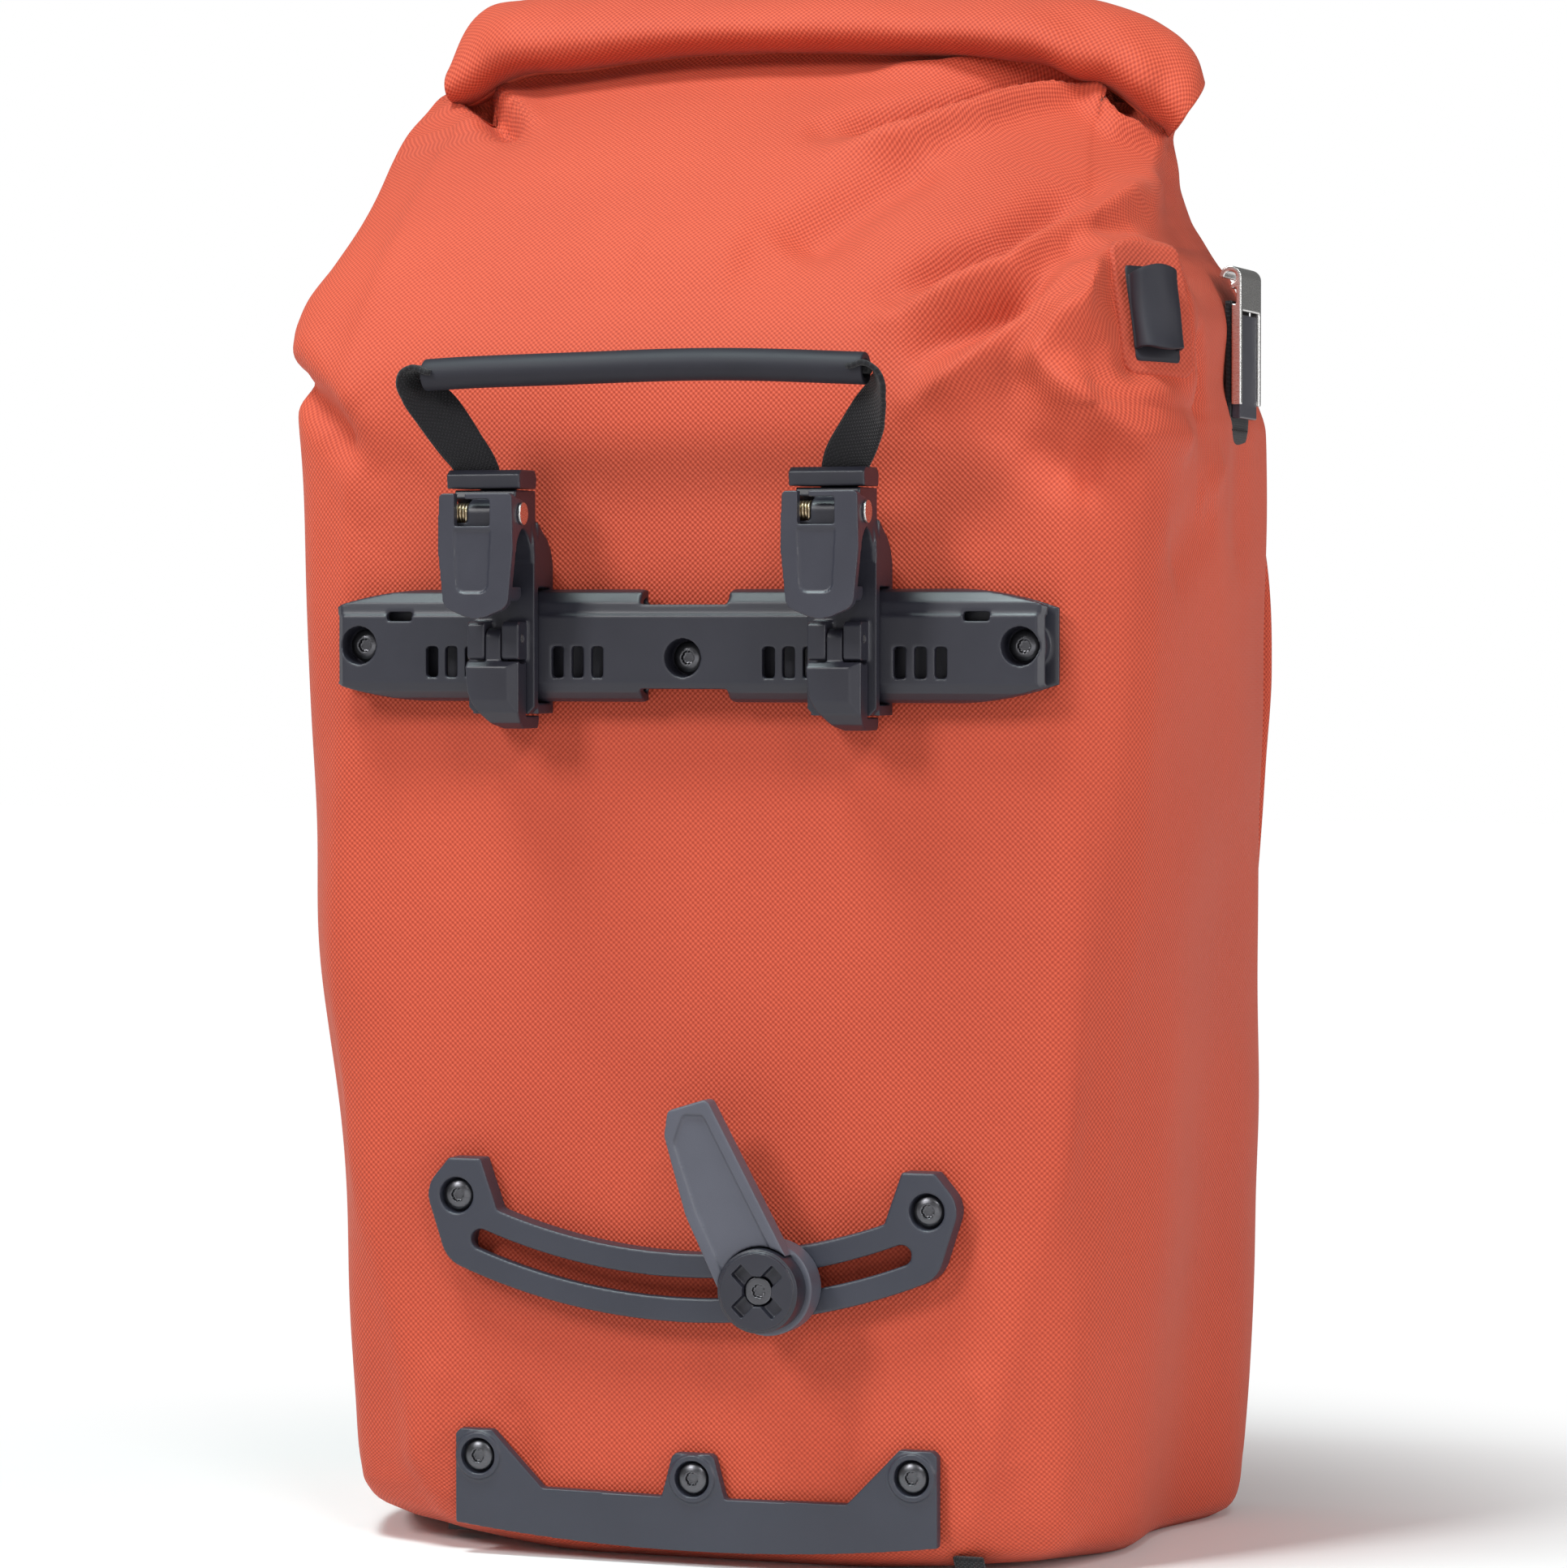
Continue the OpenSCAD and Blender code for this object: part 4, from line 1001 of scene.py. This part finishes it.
def pocket_ring(inset):
    """Rounded-rectangle outline of the pocket (x, z), pulled in by inset."""
    left, right = POCKET["left"] + inset, POCKET["right"] - inset
    low, high = POCKET["low"] + inset, POCKET["high"] - inset
    r = max(POCKET["corner"] - inset * 0.6, 2)
    corners = [(right - r, high - r, 0), (left + r, high - r, 90), (left + r, low + r, 180),
               (right - r, low + r, 270)]
    arcs = [[(cx + r * math.cos(a), cz + r * math.sin(a)) for a in np.radians(begin + np.linspace(0, 90, 12))]
            for cx, cz, begin in corners]
    ring = []
    for k, arc in enumerate(arcs):
        start, end = np.array(arc[-1]), np.array(arcs[(k + 1) % 4][0])
        ring += arc + [tuple(start + (end - start) * t) for t in np.linspace(0, 1, 42)[1:-1]]
    return np.array(ring)


def add_pocket():
    """Gusseted outer pocket: side walls, a piped edge and a softly filled face."""
    rings = []
    for inset, y in POCKET_STEPS:
        ring = pocket_ring(inset)
        rings.append(np.column_stack([ring[:, 0], np.full(len(ring), float(y)), ring[:, 1]]))
    grid = np.array(rings)
    columns = grid.shape[1]
    points = grid.reshape(-1, 3)
    soft = smooth_step((points[:, 1] - 176) / 4)
    points[:, 1] += soft * (ripple(points, 31, 7, 70, 0.9) + ripple(points, 32, 6, 30, 0.25))
    points[:, 0] += ripple(points, 33, 5, 60, 0.35)
    for fold in POCKET_FOLDS:
        points[:, 1] += soft * dent(points, *fold)
    flap = smooth_step((points[:, 0] - 104) / 14) * smooth_step((points[:, 1] - 173) / 3)
    points[:, 0] += flap * cubic(*zip(*FLAP), points[:, 2])
    faces = [tuple(reversed(f)) for f in grid_faces(len(rings), columns, wrap=True)]
    middle = points[-columns:].mean(axis=0)
    everything = np.concatenate([points, middle[None]])
    first = (len(rings) - 1) * columns
    faces += [(first + (c + 1) % columns, first + c, len(points)) for c in range(columns)]
    wrap = (everything[:, 1] - 175) * np.clip(everything[:, 0] / 80, -1, 1)
    cloth = everything[:, [0, 2]] + np.column_stack([wrap, np.zeros(len(everything))])
    add_mesh("pocket_cloth", placed(everything), faces, "cloth", "bag", cloth, ("front_pocket",))


def add_zip():
    """The zip in the pocket's side: its tape, and a coil of two rows of hooked turns."""
    low, high = POCKET["low"] + 15, POCKET["high"] - 15
    x, y = ZIP_X, ZIP_Y - 1.8
    strap("zip_tape", [(x, y, low - 1), (x, y, (low + high) / 2), (x, y, high + 1)],
          [(0, 1, 0)] * 3, 7.6, 0.9, "web", "bag", ("zipper_tape",), 120)
    hook = [(0.7, 2.0, 0), (2.0, 1.9, 0.1), (2.8, 0.9, 0.2), (2.7, -0.45, 0.28), (1.9, -0.55, 0.3),
            (0.9, 0.3, 0.3)]
    wires = []
    turns = int((high - low) / 1.15)
    for way in (-1, 1):
        for k in range(turns):
            z = low + (high - low) * (k + 0.5 * (way > 0)) / turns
            wires.append(tube(spline([(x + a, y + way * b, z + c) for a, b, c in hook], 12), 0.36, 6))
    points, faces = gathered(wires)
    add_mesh("zip_coil", placed(points), faces, "rubber", "bag", None, ("zipper_coil",))


def tube(path, radius, sides):
    """Points and faces of a round wire along a path."""
    tangent = units(np.gradient(path, axis=0))
    side = units(np.cross(tangent, [0.31, 0.17, 0.93]))
    up = np.cross(tangent, side)
    angles = np.linspace(0, math.tau, sides, endpoint=False)
    outline = [(radius * math.cos(a), radius * math.sin(a)) for a in angles]
    return sweep(path, np.stack([side, up], axis=1), outline)


def gathered(parts):
    """Several (points, faces) as one."""
    points, faces = [], []
    for part_points, part_faces in parts:
        faces += [tuple(len(points) + i for i in face) for face in part_faces]
        points += list(part_points)
    return np.array(points), faces


def add_stitches(name, path, out, pitch, look, body, radius=0.28):
    """A row of short thread loops standing just proud of the cloth along a path."""
    path = spline(path, 400)
    run = lengths_along(path)
    out = np.asarray(out)
    threads = []
    for start in np.arange(pitch * 0.2, run[-1] - pitch, pitch):
        marks = np.linspace(start, start + pitch * 0.72, 7)
        line = np.column_stack([np.interp(marks, run, path[:, k]) for k in range(3)])
        line += out * (radius * 1.5 * np.sin(np.linspace(0, math.pi, 7)))[:, None] - out * radius * 0.6
        threads.append(tube(line, radius, 6))
    points, faces = gathered(threads)
    return add_mesh(name, placed(points), faces, look, body)


# ---- closure straps, springs, small webbing


STRAP_X, STRAP_Y = 136.2, 102


def add_closure_straps():
    """Webbing up each flank to the roll, sewn down twice, with the tab and hook above it."""
    for name, side in SIDES.items():
        x = side * STRAP_X
        route = [(x + side * out, STRAP_Y, z)
                 for out, z in ((-5.5, 325), (-1.2, 331), (0, 342), (0.2, 360), (0, 373))]
        strap("closure_webbing_" + name, route, [(0, 1, 0)] * 5, 24, 1.7, "web", "bag",
              ("side_strap_" + name,), 50)
        for k, z in enumerate((334.5, 338.5)):
            seam = [(x + side * 0.8, STRAP_Y + y, z) for y in (-10, 0, 10)]
            add_stitches("strap_stitch_%s_%d" % (name, k), seam, (side, 0, 0), 2.4, "web", "bag")
        moulded("side_tab_" + name, "hook", 0.28)
        moulded("side_hook_" + name, "steel", 0.26)


def add_springs():
    """A wound wire on each jaw's pin, with a short leg at either end."""
    turned, radius, width, leg = 4.5 * 360, 2.75, 4.375, 2.6
    left, pin_y, pin_z = -8.9, -29.3, 308.2
    for name, side in SIDES.items():
        coil = [(left + width * a / turned, pin_y + radius * math.cos(math.radians(a)),
                 pin_z + radius * math.sin(math.radians(a))) for a in np.linspace(0, turned, 200)]
        line = [(left, pin_y + radius, pin_z - leg), (left, pin_y + radius, pin_z - leg / 2)] + coil \
            + [(left + width, pin_y - radius, pin_z - leg / 2), (left + width, pin_y - radius, pin_z - leg)]
        points, faces = tube(np.array(line) + [side * HOOK_APART + HOOKS_X, 0, 0], 0.5, 12)
        add_mesh("coil_spring_" + name, placed(points), faces, "brass", "hook_" + name, None,
                 ("jaw_spring_" + name,))


def add_bottom_tab():
    """The short end of webbing that sticks out under the back edge."""
    route = [(82.5, y, z) for y, z in ((12, 0.9), (8, 1.4), (4.4, 3.6), (2.4, 6.2))]
    strap("bottom_tab", route, [(1, 0, 0)] * 4, 9.5, 1.6, "web", "bag", ("bottom_loop",), 20)


# ---- hard parts, and everything in order

# CAD nodes redrawn as mouldings: look and size of the voxels in millimetres.
HARD = {
    "top_rail": ("rail", 0.5), "arc_rail": ("arc", 0.45), "scuff_plate": ("arc", 0.45),
    "foot_arm": ("arm", 0.4), "foot_knob": ("rail", 0.3), "foot_bolt": ("screw", 0.2),
    "rail_bolts": ("screw", 0.22), "arc_bolts": ("screw", 0.22), "scuff_bolts": ("screw", 0.22),
    "zip_slider": ("steel", 0.22), "zip_pull": ("rubber", 0.22),
}
PAIRED = {
    "hook_body_": ("rail", 0.4), "hook_jaw_": ("hook", 0.35), "rail_latch_": ("rail", 0.35),
    "strap_cap_": ("rail", 0.35), "jaw_pin_": ("steel", 0.2),
}
HARD.update({part + side: how for side in SIDES for part, how in PAIRED.items()})

add_camera()
add_studio()
add_floor()
finish_nodes()
sack = add_sack()
tree = cloth_tree(sack)
add_roll()
add_roll_strip()
add_side_loop(tree)
add_pocket()
add_zip()
add_closure_straps()
add_springs()
add_bottom_tab()
add_handle()
for node, (look, voxel) in HARD.items():
    moulded(node, look, voxel)
